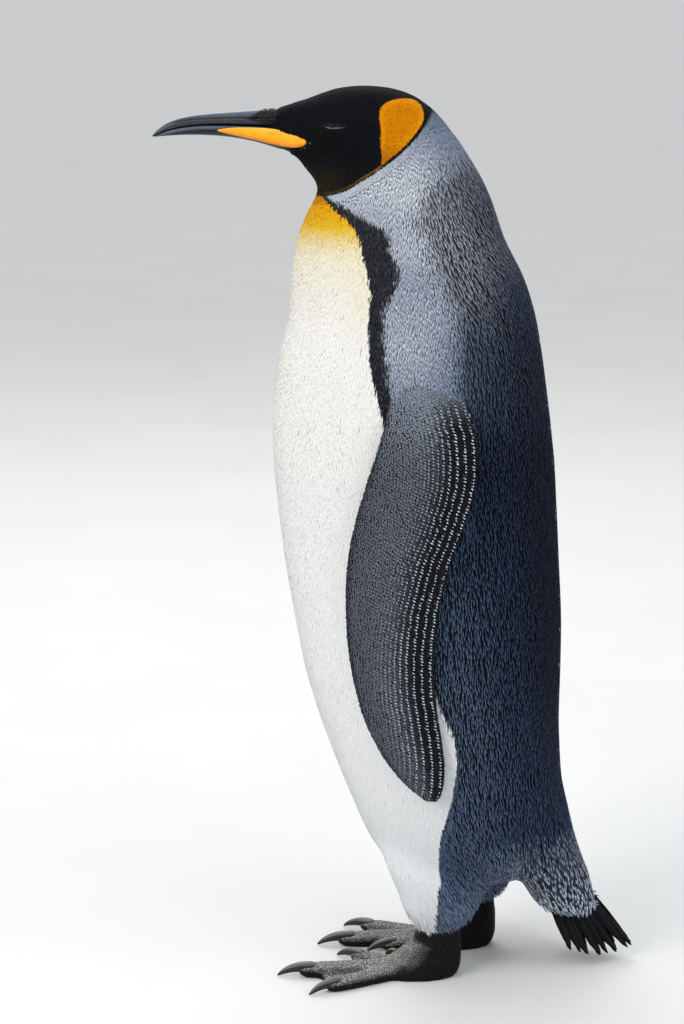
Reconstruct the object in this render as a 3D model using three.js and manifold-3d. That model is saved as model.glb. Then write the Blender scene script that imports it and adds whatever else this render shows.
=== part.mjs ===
// A king penguin standing at rest, life size, in millimetres, +Z up.
// The bird looks along -Y with its left side on +X. The middle of its back and breast lies in the
// plane X = 0. Heights are measured from the soles.
import * as THREE from "three";
import { LoftGeometry } from "three/addons/geometries/LoftGeometry.js";
import { mergeVertices } from "three/addons/utils/BufferGeometryUtils.js";
import Module from "manifold-3d";

// ---------------------------------------------------------------- driving dimensions

const CROWN_HEIGHT = 851;
const SEAM = 0.3; // gap between two touching pieces
const LEFT = 1;
const RIGHT = -1;

// Body from the vent up to the crown. Each row is one level section: its height, how far it
// reaches forward and back, its half width, and how much narrower it is in front than behind.
const BODY_ROWS = [
  { z: 88, front: 112, back: 152, half: 22, narrow: 0 },
  { z: 92, front: 80, back: 180, half: 46, narrow: 0 },
  { z: 105, front: 46, back: 200, half: 70, narrow: 0 },
  { z: 130, front: 25.5, back: 212, half: 90, narrow: 0 },
  { z: 160, front: 12.5, back: 215, half: 103, narrow: 0 },
  { z: 200, front: -3.5, back: 213, half: 114, narrow: 0.02 },
  { z: 250, front: -22, back: 210, half: 121, narrow: 0.03 },
  { z: 300, front: -37, back: 211, half: 125, narrow: 0.04 },
  { z: 350, front: -46, back: 211, half: 126, narrow: 0.05 },
  { z: 400, front: -55, back: 208, half: 124, narrow: 0.05 },
  { z: 450, front: -61, back: 205, half: 121, narrow: 0.05 },
  { z: 500, front: -66, back: 202, half: 118, narrow: 0.06 },
  { z: 550, front: -67, back: 196, half: 114, narrow: 0.08 },
  { z: 600, front: -61, back: 189, half: 107, narrow: 0.1 },
  { z: 640, front: -50.5, back: 182, half: 97, narrow: 0.12 },
  { z: 675, front: -49.5, back: 171, half: 84, narrow: 0.14 },
  { z: 712, front: -44, back: 151, half: 68, narrow: 0.16 },
  { z: 740, front: -33, back: 142.5, half: 55, narrow: 0.18 },
  { z: 756, front: -21.5, back: 136, half: 46, narrow: 0.22 },
  { z: 772, front: -33, back: 127, half: 41, narrow: 0.35 },
  { z: 786, front: -44, back: 118, half: 38.5, narrow: 0.5 },
  { z: 800, front: -72, back: 109, half: 37.5, narrow: 0.58 },
  { z: 813, front: -83, back: 99, half: 36.5, narrow: 0.6 },
  { z: 824, front: -81, back: 90, half: 34.5, narrow: 0.58 },
  { z: 832, front: -57, back: 81, half: 32, narrow: 0.42 },
  { z: 840, front: -31, back: 70, half: 27, narrow: 0.25 },
  { z: 846, front: -15, back: 57, half: 20.5, narrow: 0.12 },
  { z: 849.5, front: -2, back: 42, half: 13, narrow: 0 },
  { z: CROWN_HEIGHT, front: 12, back: 28, half: 5, narrow: 0 },
];
const BODY_SIDES = 28;

// Thin cuts part the body: under the black hood, and across the shoulders.
const HOOD_CUT = { front: [-22, 752], back: [77, 819] };
const SHOULDER_CUT = { front: [-50, 655], back: [180, 700] };

// Bill. Rows run from inside the head to the tip: y, lower edge, upper edge, half width.
const UPPER_BILL_ROWS = [
  { y: -56, low: 813, high: 829, half: 9.5 },
  { y: -77, low: 814.3, high: 829, half: 7.9 },
  { y: -94, low: 815, high: 827.4, half: 6.9 },
  { y: -112, low: 815.3, high: 826.4, half: 6 },
  { y: -130, low: 815, high: 824.7, half: 5.1 },
  { y: -148, low: 813, high: 821.6, half: 4 },
  { y: -160, low: 810, high: 817, half: 3 },
  { y: -169, low: 806.6, high: 810.2, half: 1.9 },
  { y: -174.6, low: 804, high: 805, half: 0.6 },
];
const LOWER_BILL_ROWS = [
  { y: -50, low: 790, high: 811.6, half: 13.2 },
  { y: -62, low: 794.4, high: 813, half: 11.9 },
  { y: -76, low: 798.8, high: 814, half: 10.3 },
  { y: -94, low: 802.8, high: 814.7, half: 8.6 },
  { y: -112, low: 805.1, high: 815, half: 7.2 },
  { y: -130, low: 805.9, high: 814.7, half: 5.8 },
  { y: -148, low: 805.8, high: 812.7, half: 4.3 },
  { y: -160, low: 805.2, high: 809.5, half: 2.9 },
  { y: -168.5, low: 804.6, high: 806, half: 1.2 },
];
const BILL_SIDES = 12;

// Orange plate along each side of the lower bill, from its front point back to the gape.
const PLATE_ROWS = [
  { y: -32.5, low: 799.4, high: 801.4, out: 19.6 },
  { y: -35.5, low: 796.3, high: 804.2, out: 19.2 },
  { y: -42, low: 794.6, high: 808.2, out: 17.8 },
  { y: -52, low: 795.2, high: 811.2, out: 14.8 },
  { y: -66, low: 798.2, high: 812.8, out: 12.2 },
  { y: -84, low: 802.6, high: 813.6, out: 10.2 },
  { y: -102, low: 806.4, high: 813.2, out: 8.7 },
  { y: -114, low: 809, high: 812, out: 7.4 },
  { y: -119.5, low: 810.2, high: 811, out: 6.6 },
];
const PLATE_THICK = 4.8;
const PLATE_SIDES = 10;

const EYE = { radius: 13, x: 16.5, y: -7, z: 815.3 };
const EYE_SIDES = 10;

// Flipper as it hangs, from the tip up to the shoulder: height, leading edge, trailing edge,
// distance of its mid plane from the middle of the bird, and greatest thickness.
const FLIPPER_ROWS = [
  { z: 206, lead: 78, trail: 88, out: 128, thick: 3 },
  { z: 213, lead: 67.5, trail: 92, out: 128.5, thick: 4.4 },
  { z: 231, lead: 48, trail: 95.5, out: 130, thick: 6 },
  { z: 262, lead: 28, trail: 92.5, out: 132, thick: 7.4 },
  { z: 298, lead: 14, trail: 86, out: 133.5, thick: 8.6 },
  { z: 345, lead: 4, trail: 83.5, out: 134.5, thick: 9.8 },
  { z: 395, lead: 1, trail: 89.5, out: 134.5, thick: 11 },
  { z: 440, lead: 2.8, trail: 101, out: 133, thick: 12 },
  { z: 485, lead: 14, trail: 120, out: 130.5, thick: 13 },
  { z: 525, lead: 27, trail: 125, out: 126.5, thick: 14.5 },
  { z: 560, lead: 39, trail: 119, out: 120, thick: 17 },
  { z: 590, lead: 45, trail: 104, out: 111, thick: 21 },
  { z: 612, lead: 53, trail: 94, out: 101, thick: 22 },
  { z: 630, lead: 66, trail: 84, out: 90, thick: 12 },
];
const FLIPPER_BOW = 7; // how far its two edges curl in towards the body
const FLIPPER_EDGE = 0.16; // thickness of the trailing edge over the greatest thickness
const FLIPPER_SIDES = 14;

// Feathered shank, from just above the bare foot up into the belly.
const SHANK_ROWS = [
  { z: 47, front: 78, back: 98, half: 11 },
  { z: 51, front: 69, back: 111, half: 19 },
  { z: 58, front: 63.5, back: 124, half: 24 },
  { z: 68, front: 58, back: 133, half: 27.5 },
  { z: 79, front: 54.5, back: 138, half: 31 },
  { z: 92, front: 50.5, back: 141.5, half: 34.5 },
  { z: 106, front: 43.5, back: 143.5, half: 36 },
  { z: 122, front: 38, back: 144, half: 34 },
  { z: 140, front: 42, back: 140, half: 27 },
];
const SHANK_SIDES = 18;
const SHANK_SPREAD = 0.08; // the shanks lean outwards by this much per unit of height
const SHANK_TOP_SHIFT = 0.25; // share of the stride that the top of the shank follows

// Feet. Each is laid out from the back of its own heel, forward along its own axis. The right foot
// stands further back, turned a little inwards, with its inner toe closer to the middle one.
const FOOT_OUT = 39; // from the middle of the bird to the back of each heel
const STANCE = {
  left: { side: LEFT, stride: 0, turnOut: 3, inner: { pad: 104, aside: -38 } },
  right: { side: RIGHT, stride: 38, turnOut: -3, inner: { pad: 114, aside: -17 } },
};
const HEEL_BACK = 116; // Y of the left heel
const ANKLE_ROWS = [
  { z: -2, back: 6, reach: 82, half: 21 },
  { z: 5, back: 2, reach: 84, half: 23 },
  { z: 14, back: 0, reach: 76, half: 22.5 },
  { z: 24, back: 0, reach: 62, half: 20.5 },
  { z: 36, back: 0.5, reach: 47, half: 19 },
  { z: 48, back: 2, reach: 44, half: 18.5 },
  { z: 62, back: 8, reach: 44, half: 17 },
];
const ANKLE_SIDES = 14;
// Toes: how far the pad's end lies in front of the heel and to the side (outwards +), half width,
// height, length of claw, and where the toe starts. The small hallux is held clear of the floor.
const TOE_START = { forward: 50, aside: 0 };
const HALLUX_START = { forward: 50, aside: -18 };
const TOES = {
  inner: { wide: 9.5, high: 13, claw: 18, start: TOE_START, lift: 0 },
  middle: { pad: 158, aside: 0, wide: 11, high: 14.5, claw: 21, start: TOE_START, lift: 0 },
  outer: { pad: 133, aside: 40, wide: 9.5, high: 13, claw: 19, start: TOE_START, lift: 0 },
  hallux: { pad: 66, aside: -29, wide: 5, high: 9, claw: 7, start: HALLUX_START, lift: 6 },
};
const TOE_MIDDLE = 0.42; // height of the middle line over the height of the toe
const TOE_SIDES = 8;
const CLAW_SIDES = 6;
const WEB_THICK = 4;
const WEB_REACH = 0.94; // how much of each toe the web runs along
const WEB_STEPS = 4;
const WEB_BAY = 12; // how deep the web's front edge is hollowed between two toes

// Tail: a base of short feathers, from its end near the floor up into the rump.
const TAIL_BASE_ROWS = [
  { z: 36, front: 210, back: 256, half: 14 },
  { z: 44, front: 199, back: 257.5, half: 28 },
  { z: 60, front: 188, back: 251, half: 40 },
  { z: 76, front: 179, back: 246, half: 48 },
  { z: 90, front: 170, back: 243, half: 54 },
  { z: 106, front: 163, back: 236, half: 59 },
  { z: 132, front: 160, back: 227.5, half: 62 },
  { z: 158, front: 165, back: 221.5, half: 58 },
  { z: 182, front: 178, back: 215.5, half: 44 },
  { z: 200, front: 192, back: 211, half: 24 },
];
const TAIL_BASE_SIDES = 14;
// Long stiff tail feathers in pairs, from the middle pair on top to the outermost, lowest pair.
const TAIL_PAIRS = 7;
const TAIL_TIPS = { inner: [4, 286, 15], outer: [40, 219, 26], droop: 8.5 };
const TAIL_ROOTS = { inner: [4, 236, 74], outer: [30, 200, 58] };
const TAIL_FEATHER = { half: 7.5, thick: 1.5, sides: 4 };

// ---------------------------------------------------------------- shared shapes

const wasm = await Module();
wasm.setup();

// A closed ring of points: pointAt takes the angle round the ring.
function ring(sides, pointAt) {
  return Array.from({ length: sides }, (unused, index) => pointAt((index / sides) * 2 * Math.PI));
}

// Swaps a ring between the left and the right side of the bird.
function onSide(points, side) {
  const moved = points.map((point) => new THREE.Vector3(point.x * side, point.y, point.z));
  return side === LEFT ? moved : moved.reverse();
}

function solidFrom(geometry) {
  const bare = new THREE.BufferGeometry();
  bare.setAttribute("position", geometry.getAttribute("position"));
  bare.setIndex(geometry.getIndex());
  const merged = mergeVertices(bare, 1e-3);
  const vertProperties = new Float32Array(merged.getAttribute("position").array);
  const triVerts = new Uint32Array(merged.getIndex().array);
  return new wasm.Manifold(new wasm.Mesh({ numProp: 3, vertProperties, triVerts }));
}

function loft(rings) {
  return solidFrom(new LoftGeometry(rings, { closed: true, capStart: true, capEnd: true }));
}

// A level section that is wider behind than in front.
function levelRing(row, sides, middle = 0, grow = 0) {
  const reach = (row.back - row.front) / 2 + grow;
  const centre = (row.back + row.front) / 2;
  const narrow = row.narrow ?? 0;
  const widest = ring(180, (turn) => Math.sin(turn) * (1 - narrow * Math.cos(turn)));
  const half = (row.half + grow) / Math.max(...widest);
  return ring(sides, (turn) => {
    const x = middle + half * Math.sin(turn) * (1 - narrow * Math.cos(turn));
    return new THREE.Vector3(x, centre - reach * Math.cos(turn), row.z);
  });
}

// An upright section across the bird, at one distance along Y.
function crossRing(row, sides, middle = 0, grow = 0) {
  const high = (row.high - row.low) / 2 + grow;
  const centre = (row.high + row.low) / 2;
  return ring(sides, (turn) => {
    const x = middle + (row.half + grow) * Math.cos(turn);
    return new THREE.Vector3(x, row.y, centre + high * Math.sin(turn));
  });
}

// A tapering limb through stations { at, wide, high }, its sections square to its path.
function limb(stations, sides) {
  const up = new THREE.Vector3(0, 0, 1);
  const rings = stations.map((station, index) => {
    const before = stations[Math.max(index - 1, 0)].at;
    const after = stations[Math.min(index + 1, stations.length - 1)].at;
    const along = after.clone().sub(before).normalize();
    const across = up.clone().cross(along).normalize();
    const top = along.clone().cross(across);
    return ring(sides, (turn) =>
      station.at
        .clone()
        .addScaledVector(across, station.wide * Math.cos(turn))
        .addScaledVector(top, station.high * Math.sin(turn)),
    );
  });
  return rings;
}

function meshOf(name, solid, colour, roughness) {
  const { vertProperties, triVerts } = solid.getMesh();
  const geometry = new THREE.BufferGeometry();
  geometry.setAttribute("position", new THREE.BufferAttribute(vertProperties, 3));
  geometry.setIndex(new THREE.BufferAttribute(triVerts, 1));
  geometry.computeVertexNormals();
  const material = new THREE.MeshStandardMaterial({ color: colour, roughness, metalness: 0 });
  const mesh = new THREE.Mesh(geometry, material);
  mesh.name = name;
  return mesh;
}

// ---------------------------------------------------------------- body

function bodySolid(grow) {
  return loft(BODY_ROWS.map((row) => levelRing(row, BODY_SIDES, 0, grow)));
}

// A plane through two points of the side view. Its normal points up and back.
function cutPlane(cut) {
  const along = new THREE.Vector3(0, cut.back[0] - cut.front[0], cut.back[1] - cut.front[1]);
  const normal = new THREE.Vector3(1, 0, 0).cross(along).normalize();
  const offset = normal.dot(new THREE.Vector3(0, cut.front[0], cut.front[1]));
  return { normal: normal.toArray(), offset };
}

function keepAbove(solid, cut) {
  const { normal, offset } = cutPlane(cut);
  return solid.trimByPlane(normal, offset + SEAM / 2);
}

function keepBelow(solid, cut) {
  const { normal, offset } = cutPlane(cut);
  return solid.trimByPlane(normal.map((part) => -part), -offset + SEAM / 2);
}

// ---------------------------------------------------------------- bill

function billSolid(rows, grow) {
  return loft(rows.map((row) => crossRing(row, BILL_SIDES, 0, grow)));
}

function plateSolid(side, grow) {
  const rings = PLATE_ROWS.map((row) => {
    const size = { ...row, half: PLATE_THICK / 2 };
    return onSide(crossRing(size, PLATE_SIDES, row.out - PLATE_THICK / 2, grow), side);
  });
  return loft(rings);
}

// ---------------------------------------------------------------- eyes

function eyeSolid(side, radius) {
  const ball = new THREE.SphereGeometry(radius, EYE_SIDES, EYE_SIDES / 2 + 2);
  ball.translate(EYE.x * side, EYE.y, EYE.z);
  return solidFrom(ball);
}

// ---------------------------------------------------------------- flippers

// The section is thick and round at the leading edge and thin at the trailing edge.
function flipperSolid(side) {
  const rings = FLIPPER_ROWS.map((row) => {
    const chord = row.trail - row.lead;
    const points = ring(FLIPPER_SIDES, (turn) => {
      const along = (1 - Math.cos(turn)) / 2;
      const taper = 1 - (1 - FLIPPER_EDGE) * along * along;
      const inset = (2 * along - 1) ** 2 * FLIPPER_BOW * (chord / 110);
      const x = row.out - inset + (row.thick / 2) * taper * Math.sin(turn);
      return new THREE.Vector3(x, row.lead + chord * along, row.z);
    });
    return onSide(points, side);
  });
  return loft(rings);
}

// ---------------------------------------------------------------- legs and feet

function shankSolid(foot, grow) {
  const top = SHANK_ROWS[SHANK_ROWS.length - 1].z;
  const bottom = SHANK_ROWS[0].z;
  const rings = SHANK_ROWS.map((row) => {
    const drop = (top - row.z) / (top - bottom);
    const shift = foot.stride * Math.min(1, SHANK_TOP_SHIFT + drop);
    const moved = { ...row, front: row.front + shift, back: row.back + shift };
    const middle = FOOT_OUT + SHANK_SPREAD * (row.z - bottom);
    return onSide(levelRing(moved, SHANK_SIDES, middle, grow), foot.side);
  });
  return loft(rings);
}

// Moves rings laid out from the heel to their place on the floor.
function placed(rings, foot) {
  const turn = new THREE.Matrix4().makeRotationZ(THREE.MathUtils.degToRad(foot.turnOut));
  const place = new THREE.Matrix4().makeTranslation(FOOT_OUT, HEEL_BACK + foot.stride, 0);
  place.multiply(turn);
  return rings.map((points) => onSide(points.map((point) => point.applyMatrix4(place)), foot.side));
}

function toesOf(foot) {
  return { ...TOES, inner: { ...TOES.inner, ...foot.inner } };
}

function ankleRings() {
  return ANKLE_ROWS.map((row) => {
    const section = { z: row.z, front: -row.reach, back: -row.back, half: row.half };
    return levelRing(section, ANKLE_SIDES);
  });
}

// The straight middle line of a toe, from its root to the end of its pad.
function toeLine(toe) {
  const height = toe.lift + toe.high * TOE_MIDDLE;
  const from = new THREE.Vector3(toe.start.aside, -toe.start.forward, height);
  const to = new THREE.Vector3(toe.aside, -toe.pad, height);
  return { from, to };
}

function toeRings(toe) {
  const { from, to } = toeLine(toe);
  const rows = [
    { share: 0, wide: 1, high: 0.8 },
    { share: 0.35, wide: 1.02, high: 0.64 },
    { share: 0.8, wide: 0.98, high: 0.56 },
    { share: 0.94, wide: 0.82, high: 0.48 },
    { share: 1, wide: 0.4, high: 0.25 },
  ];
  const stations = rows.map((row) => ({
    at: from.clone().lerp(to, row.share),
    wide: toe.wide * row.wide,
    high: toe.high * row.high,
  }));
  return limb(stations, TOE_SIDES);
}

// A claw leaves the top of the toe's end and curves down to a blunt point at the floor.
function clawRings(toe, grow) {
  const { from, to } = toeLine(toe);
  const along = to.clone().sub(from).setZ(0).normalize();
  const rows = [
    { ahead: -0.75, z: 0.78, wide: 0.44, high: 0.22 },
    { ahead: -0.2, z: 0.78, wide: 0.46, high: 0.27 },
    { ahead: 0.3, z: 0.68, wide: 0.38, high: 0.24 },
    { ahead: 0.7, z: 0.44, wide: 0.25, high: 0.17 },
    { ahead: 0.93, z: 0.2, wide: 0.12, high: 0.08 },
    { ahead: 1, z: 0.11, wide: 0.05, high: 0.04 },
  ];
  const stations = rows.map((row) => ({
    at: to.clone().addScaledVector(along, toe.claw * row.ahead).setZ(toe.lift + toe.high * row.z),
    wide: toe.wide * row.wide + grow,
    high: toe.high * row.high + grow,
  }));
  return limb(stations, CLAW_SIDES);
}

// The web between two toes: a sheet with a hollowed front edge.
function webRings(one, other) {
  const reach = (toe) => new THREE.Vector2(toe.aside, -toe.pad).multiplyScalar(WEB_REACH);
  const bay = reach(one).add(reach(other)).multiplyScalar(0.5);
  bay.y += WEB_BAY;
  const edge = new THREE.QuadraticBezierCurve(reach(one), bay, reach(other)).getPoints(WEB_STEPS);
  const outline = [new THREE.Vector2(0, -TOE_START.forward), ...edge];
  const ordered = THREE.ShapeUtils.isClockWise(outline) ? outline.reverse() : outline;
  return [-1, WEB_THICK].map((z) => ordered.map((point) => new THREE.Vector3(point.x, point.y, z)));
}

function footSolid(foot) {
  const toes = toesOf(foot);
  const parts = [
    ankleRings(),
    ...Object.values(toes).map(toeRings),
    webRings(toes.inner, toes.middle),
    webRings(toes.outer, toes.middle),
  ];
  const joined = parts.map((rings) => loft(placed(rings, foot))).reduce((sum, piece) => sum.add(piece));
  const standing = joined.trimByPlane([0, 0, 1], 0);
  const rooms = Object.values(toes).map((toe) => loft(placed(clawRings(toe, SEAM), foot)));
  const socketed = rooms.reduce((sum, room) => sum.subtract(room), standing);
  return socketed.subtract(shankSolid(foot, SEAM));
}

// ---------------------------------------------------------------- tail

// A flat blade that lies in the sheet of the fan, so its neighbours overlap it.
function tailFeatherSolid(pair, side) {
  const share = pair / (TAIL_PAIRS - 1);
  const [innerTip, outerTip] = [TAIL_TIPS.inner, TAIL_TIPS.outer].map((at) => new THREE.Vector3(...at));
  const [innerRoot, outerRoot] = [TAIL_ROOTS.inner, TAIL_ROOTS.outer].map((at) => new THREE.Vector3(...at));
  const tip = innerTip.clone().lerp(outerTip, share);
  tip.z -= TAIL_TIPS.droop * Math.sin(share * Math.PI);
  const root = innerRoot.clone().lerp(outerRoot, share);
  const along = tip.clone().sub(root).normalize();
  const across = innerTip.clone().sub(outerTip).normalize();
  const through = along.clone().cross(across).normalize();
  const rows = [
    { share: 0, wide: 0.8 },
    { share: 0.55, wide: 1 },
    { share: 0.88, wide: 0.8 },
    { share: 1, wide: 0.25 },
  ];
  const rings = rows.map((row) => {
    const points = ring(TAIL_FEATHER.sides, (turn) =>
      root
        .clone()
        .lerp(tip, row.share)
        .addScaledVector(across, TAIL_FEATHER.half * row.wide * Math.cos(turn))
        .addScaledVector(through, TAIL_FEATHER.thick * Math.sin(turn)),
    );
    return onSide(points, side);
  });
  return loft(rings);
}

function tailSolid() {
  const base = loft(TAIL_BASE_ROWS.map((row) => levelRing(row, TAIL_BASE_SIDES)));
  let tail = base;
  for (let pair = 0; pair < TAIL_PAIRS; pair += 1) {
    tail = tail.add(tailFeatherSolid(pair, LEFT)).add(tailFeatherSolid(pair, RIGHT));
  }
  return tail;
}

// ---------------------------------------------------------------- the bird

const bird = new THREE.Group();

const whole = bodySolid(0);
const clearance = bodySolid(SEAM);

const upperBill = billSolid(UPPER_BILL_ROWS, 0);
const plates = [LEFT, RIGHT].map((side) => plateSolid(side, 0));
const plateRooms = [LEFT, RIGHT].map((side) => plateSolid(side, SEAM));
const lowerBill = plateRooms.reduce((sum, room) => sum.subtract(room), billSolid(LOWER_BILL_ROWS, 0));
const lowerBillClear = lowerBill.subtract(billSolid(UPPER_BILL_ROWS, SEAM));

const headRooms = [
  billSolid(UPPER_BILL_ROWS, SEAM),
  billSolid(LOWER_BILL_ROWS, SEAM),
  ...plateRooms,
  eyeSolid(LEFT, EYE.radius + SEAM),
  eyeSolid(RIGHT, EYE.radius + SEAM),
];
const head = headRooms.reduce((sum, room) => sum.subtract(room), keepAbove(whole, HOOD_CUT));
const neck = keepAbove(keepBelow(whole, HOOD_CUT), SHOULDER_CUT);
const trunk = keepBelow(whole, SHOULDER_CUT);

bird.add(meshOf("head", head, 0x17181b, 0.75));
bird.add(meshOf("neck", neck, 0x7f8c9c, 0.8));
bird.add(meshOf("trunk", trunk, 0xe9e6dc, 0.8));
bird.add(meshOf("bill_upper", upperBill, 0x23262c, 0.35));
bird.add(meshOf("bill_lower", lowerBillClear, 0x1d1f24, 0.35));

Object.entries(STANCE).forEach(([word, foot], index) => {
  bird.add(meshOf(`bill_plate_${word}`, plates[index], 0xf0a81c, 0.4));
  bird.add(meshOf(`eye_${word}`, eyeSolid(foot.side, EYE.radius), 0x2a1a14, 0.1));
  const flipper = flipperSolid(foot.side).subtract(clearance);
  bird.add(meshOf(`flipper_${word}`, flipper, 0x4a525e, 0.8));
  bird.add(meshOf(`leg_${word}`, shankSolid(foot, 0).subtract(clearance), 0x8b97a6, 0.85));
  bird.add(meshOf(`foot_${word}`, footSolid(foot), 0x3b3d3f, 0.6));
  Object.entries(toesOf(foot)).forEach(([toeName, toe]) => {
    const claw = loft(placed(clawRings(toe, 0), foot)).trimByPlane([0, 0, 1], 0);
    bird.add(meshOf(`claw_${word}_${toeName}`, claw, 0x4b4b4a, 0.4));
  });
});

bird.add(meshOf("tail", tailSolid().subtract(clearance), 0x23262a, 0.75));

// The bird stands with the middle of its outline over the origin.
const box = new THREE.Box3().setFromObject(bird);
bird.position.set(-(box.min.x + box.max.x) / 2, -(box.min.y + box.max.y) / 2, -box.min.z);

export default bird;
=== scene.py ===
import math

import bmesh
import bpy
import numpy as np
from mathutils import Matrix, Vector
from mathutils.bvhtree import BVHTree
from mathutils.kdtree import KDTree


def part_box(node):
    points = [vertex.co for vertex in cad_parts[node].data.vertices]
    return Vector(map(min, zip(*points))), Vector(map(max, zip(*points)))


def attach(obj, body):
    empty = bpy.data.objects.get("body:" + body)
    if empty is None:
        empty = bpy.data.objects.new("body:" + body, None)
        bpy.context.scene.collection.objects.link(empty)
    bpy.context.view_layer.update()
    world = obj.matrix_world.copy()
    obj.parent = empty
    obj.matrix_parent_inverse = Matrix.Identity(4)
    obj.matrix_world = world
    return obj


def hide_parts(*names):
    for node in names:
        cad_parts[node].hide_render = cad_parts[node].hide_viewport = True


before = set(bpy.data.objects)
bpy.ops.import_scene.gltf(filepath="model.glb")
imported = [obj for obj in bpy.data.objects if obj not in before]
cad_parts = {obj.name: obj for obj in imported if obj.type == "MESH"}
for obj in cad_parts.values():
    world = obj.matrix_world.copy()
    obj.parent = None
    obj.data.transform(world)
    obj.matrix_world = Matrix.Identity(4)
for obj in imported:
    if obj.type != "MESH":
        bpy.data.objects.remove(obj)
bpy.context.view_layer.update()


# ---------------------------------------------------------------- stage
# A camera a little above the crown looks square at the bird's left side and slightly down on it.
# The floor is one pale matt sheet, and the light comes from large soft panels and a pale sky.

# Lengths along the bird are given in millimetres behind a line 174.6 mm behind the bill's tip.
BILL_REACH = 0.1746
BASE_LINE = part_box("bill_upper")[0].y + BILL_REACH
CAMERA_AWAY = 2.253
CAMERA_HIGH = 0.9406
CAMERA_DIP = 12.26
CAMERA_LENS = 85.25
FILM_HEIGHT = 36
FLOOR_REACH = 60
FLOOR_TONE = (0.50, 0.50, 0.49)
SKY_TONE = (1.10, 1.12, 1.15)
SKY_LOW = (0.59, 0.60, 0.61)
PANELS = [
    # place, watts, side length, tone
    ((1.9, -2.3, 2.2), 92, 1.8, (1.0, 0.985, 0.96)),
    ((1.6, 2.2, 1.9), 34, 2.0, (0.90, 0.95, 1.0)),
    ((-1.8, -0.4, 2.6), 46, 1.8, (0.96, 0.98, 1.0)),
]
PANEL_AIM = Vector((0, 0, 0.45))


def linear(red, green, blue):
    """A finish as the eye reads it, 0 to 255, turned into the strength of its light."""
    return tuple(
        part / 255 / 12.92 if part <= 10 else ((part / 255 + 0.055) / 1.055) ** 2.4
        for part in (red, green, blue)
    )


def new_object(name, data):
    thing = bpy.data.objects.new(name, data)
    bpy.context.scene.collection.objects.link(thing)
    return thing


def mesh_from(name, shape):
    mesh = bpy.data.meshes.new(name)
    shape.to_mesh(mesh)
    shape.free()
    return mesh


def node_material(name):
    """A material with its shader, and a short way to add and join nodes."""
    material = bpy.data.materials.new(name)
    material.use_nodes = True
    nodes = material.node_tree.nodes
    links = material.node_tree.links
    shader = nodes["Principled BSDF"]

    def add(kind, inputs=None, **settings):
        node = nodes.new("ShaderNode" + kind)
        for key, value in settings.items():
            setattr(node, key, value)
        for key, value in (inputs or {}).items():
            if isinstance(value, bpy.types.NodeSocket):
                links.new(value, node.inputs[key])
            else:
                node.inputs[key].default_value = value
        return node

    return material, shader, add, links


def ramp(add, factor, stops):
    """A colour ramp. Each stop is its place and its linear colour."""
    node = add("ValToRGB", {"Fac": factor})
    elements = node.color_ramp.elements
    while len(elements) < len(stops):
        elements.new(0.5)
    for element, (place, colour) in zip(elements, stops):
        element.position = place
        element.color = (*colour, 1)
    return node.outputs["Color"]


camera_data = bpy.data.cameras.new("camera")
camera_data.sensor_fit = "VERTICAL"
camera_data.sensor_height = FILM_HEIGHT
camera_data.lens = CAMERA_LENS
camera = new_object("camera", camera_data)
camera.location = (CAMERA_AWAY, BASE_LINE, CAMERA_HIGH)
camera.rotation_euler = (math.radians(90 - CAMERA_DIP), 0, math.radians(90))
bpy.context.scene.camera = camera
bpy.context.scene.view_settings.view_transform = "Standard"

floor_shape = bmesh.new()
bmesh.ops.create_circle(floor_shape, cap_ends=True, segments=64, radius=FLOOR_REACH)
floor_mesh = mesh_from("floor", floor_shape)
floor = new_object("floor", floor_mesh)
floor_material, shader, add, links = node_material("pale_floor")
grain = add("TexNoise", {"Vector": add("TexCoord").outputs["Object"], "Scale": 3.0, "Detail": 4.0})
pale_grain = tuple(1.03 * part for part in FLOOR_TONE)
tone = ramp(add, grain.outputs["Fac"], [(0.35, FLOOR_TONE), (0.65, pale_grain)])
links.new(tone, shader.inputs["Base Color"])
shader.inputs["Roughness"].default_value = 0.9
floor_mesh.materials.append(floor_material)

for number, (place, watts, side, tone) in enumerate(PANELS):
    panel_data = bpy.data.lights.new(f"panel_{number}", "AREA")
    panel_data.energy = watts
    panel_data.size = side
    panel_data.color = tone
    panel = new_object(f"panel_{number}", panel_data)
    panel.location = place
    panel.rotation_euler = (PANEL_AIM - Vector(place)).to_track_quat("-Z", "Y").to_euler()

sky = bpy.data.worlds.new("sky")
sky.use_nodes = True
nodes = sky.node_tree.nodes
height = nodes.new("ShaderNodeSeparateXYZ")
sky.node_tree.links.new(nodes.new("ShaderNodeTexCoord").outputs["Generated"], height.inputs[0])
rise = nodes.new("ShaderNodeValToRGB")
sky.node_tree.links.new(height.outputs["Z"], rise.inputs["Fac"])
rise.color_ramp.elements[0].position = 0.02
rise.color_ramp.elements[0].color = (*SKY_LOW, 1)
rise.color_ramp.elements[1].position = 0.25
rise.color_ramp.elements[1].color = (*SKY_TONE, 1)
sky.node_tree.links.new(rise.outputs["Color"], nodes["Background"].inputs["Color"])
nodes["Background"].inputs["Strength"].default_value = 1.0
bpy.context.scene.world = sky


# ---------------------------------------------------------------- body form
# The closed surface that the tips of the coat lie in: head, neck, trunk, shanks and tail root as
# one, with the flippers and the bare feet grown on. It is rounded from the frame's flesh nodes.

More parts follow.
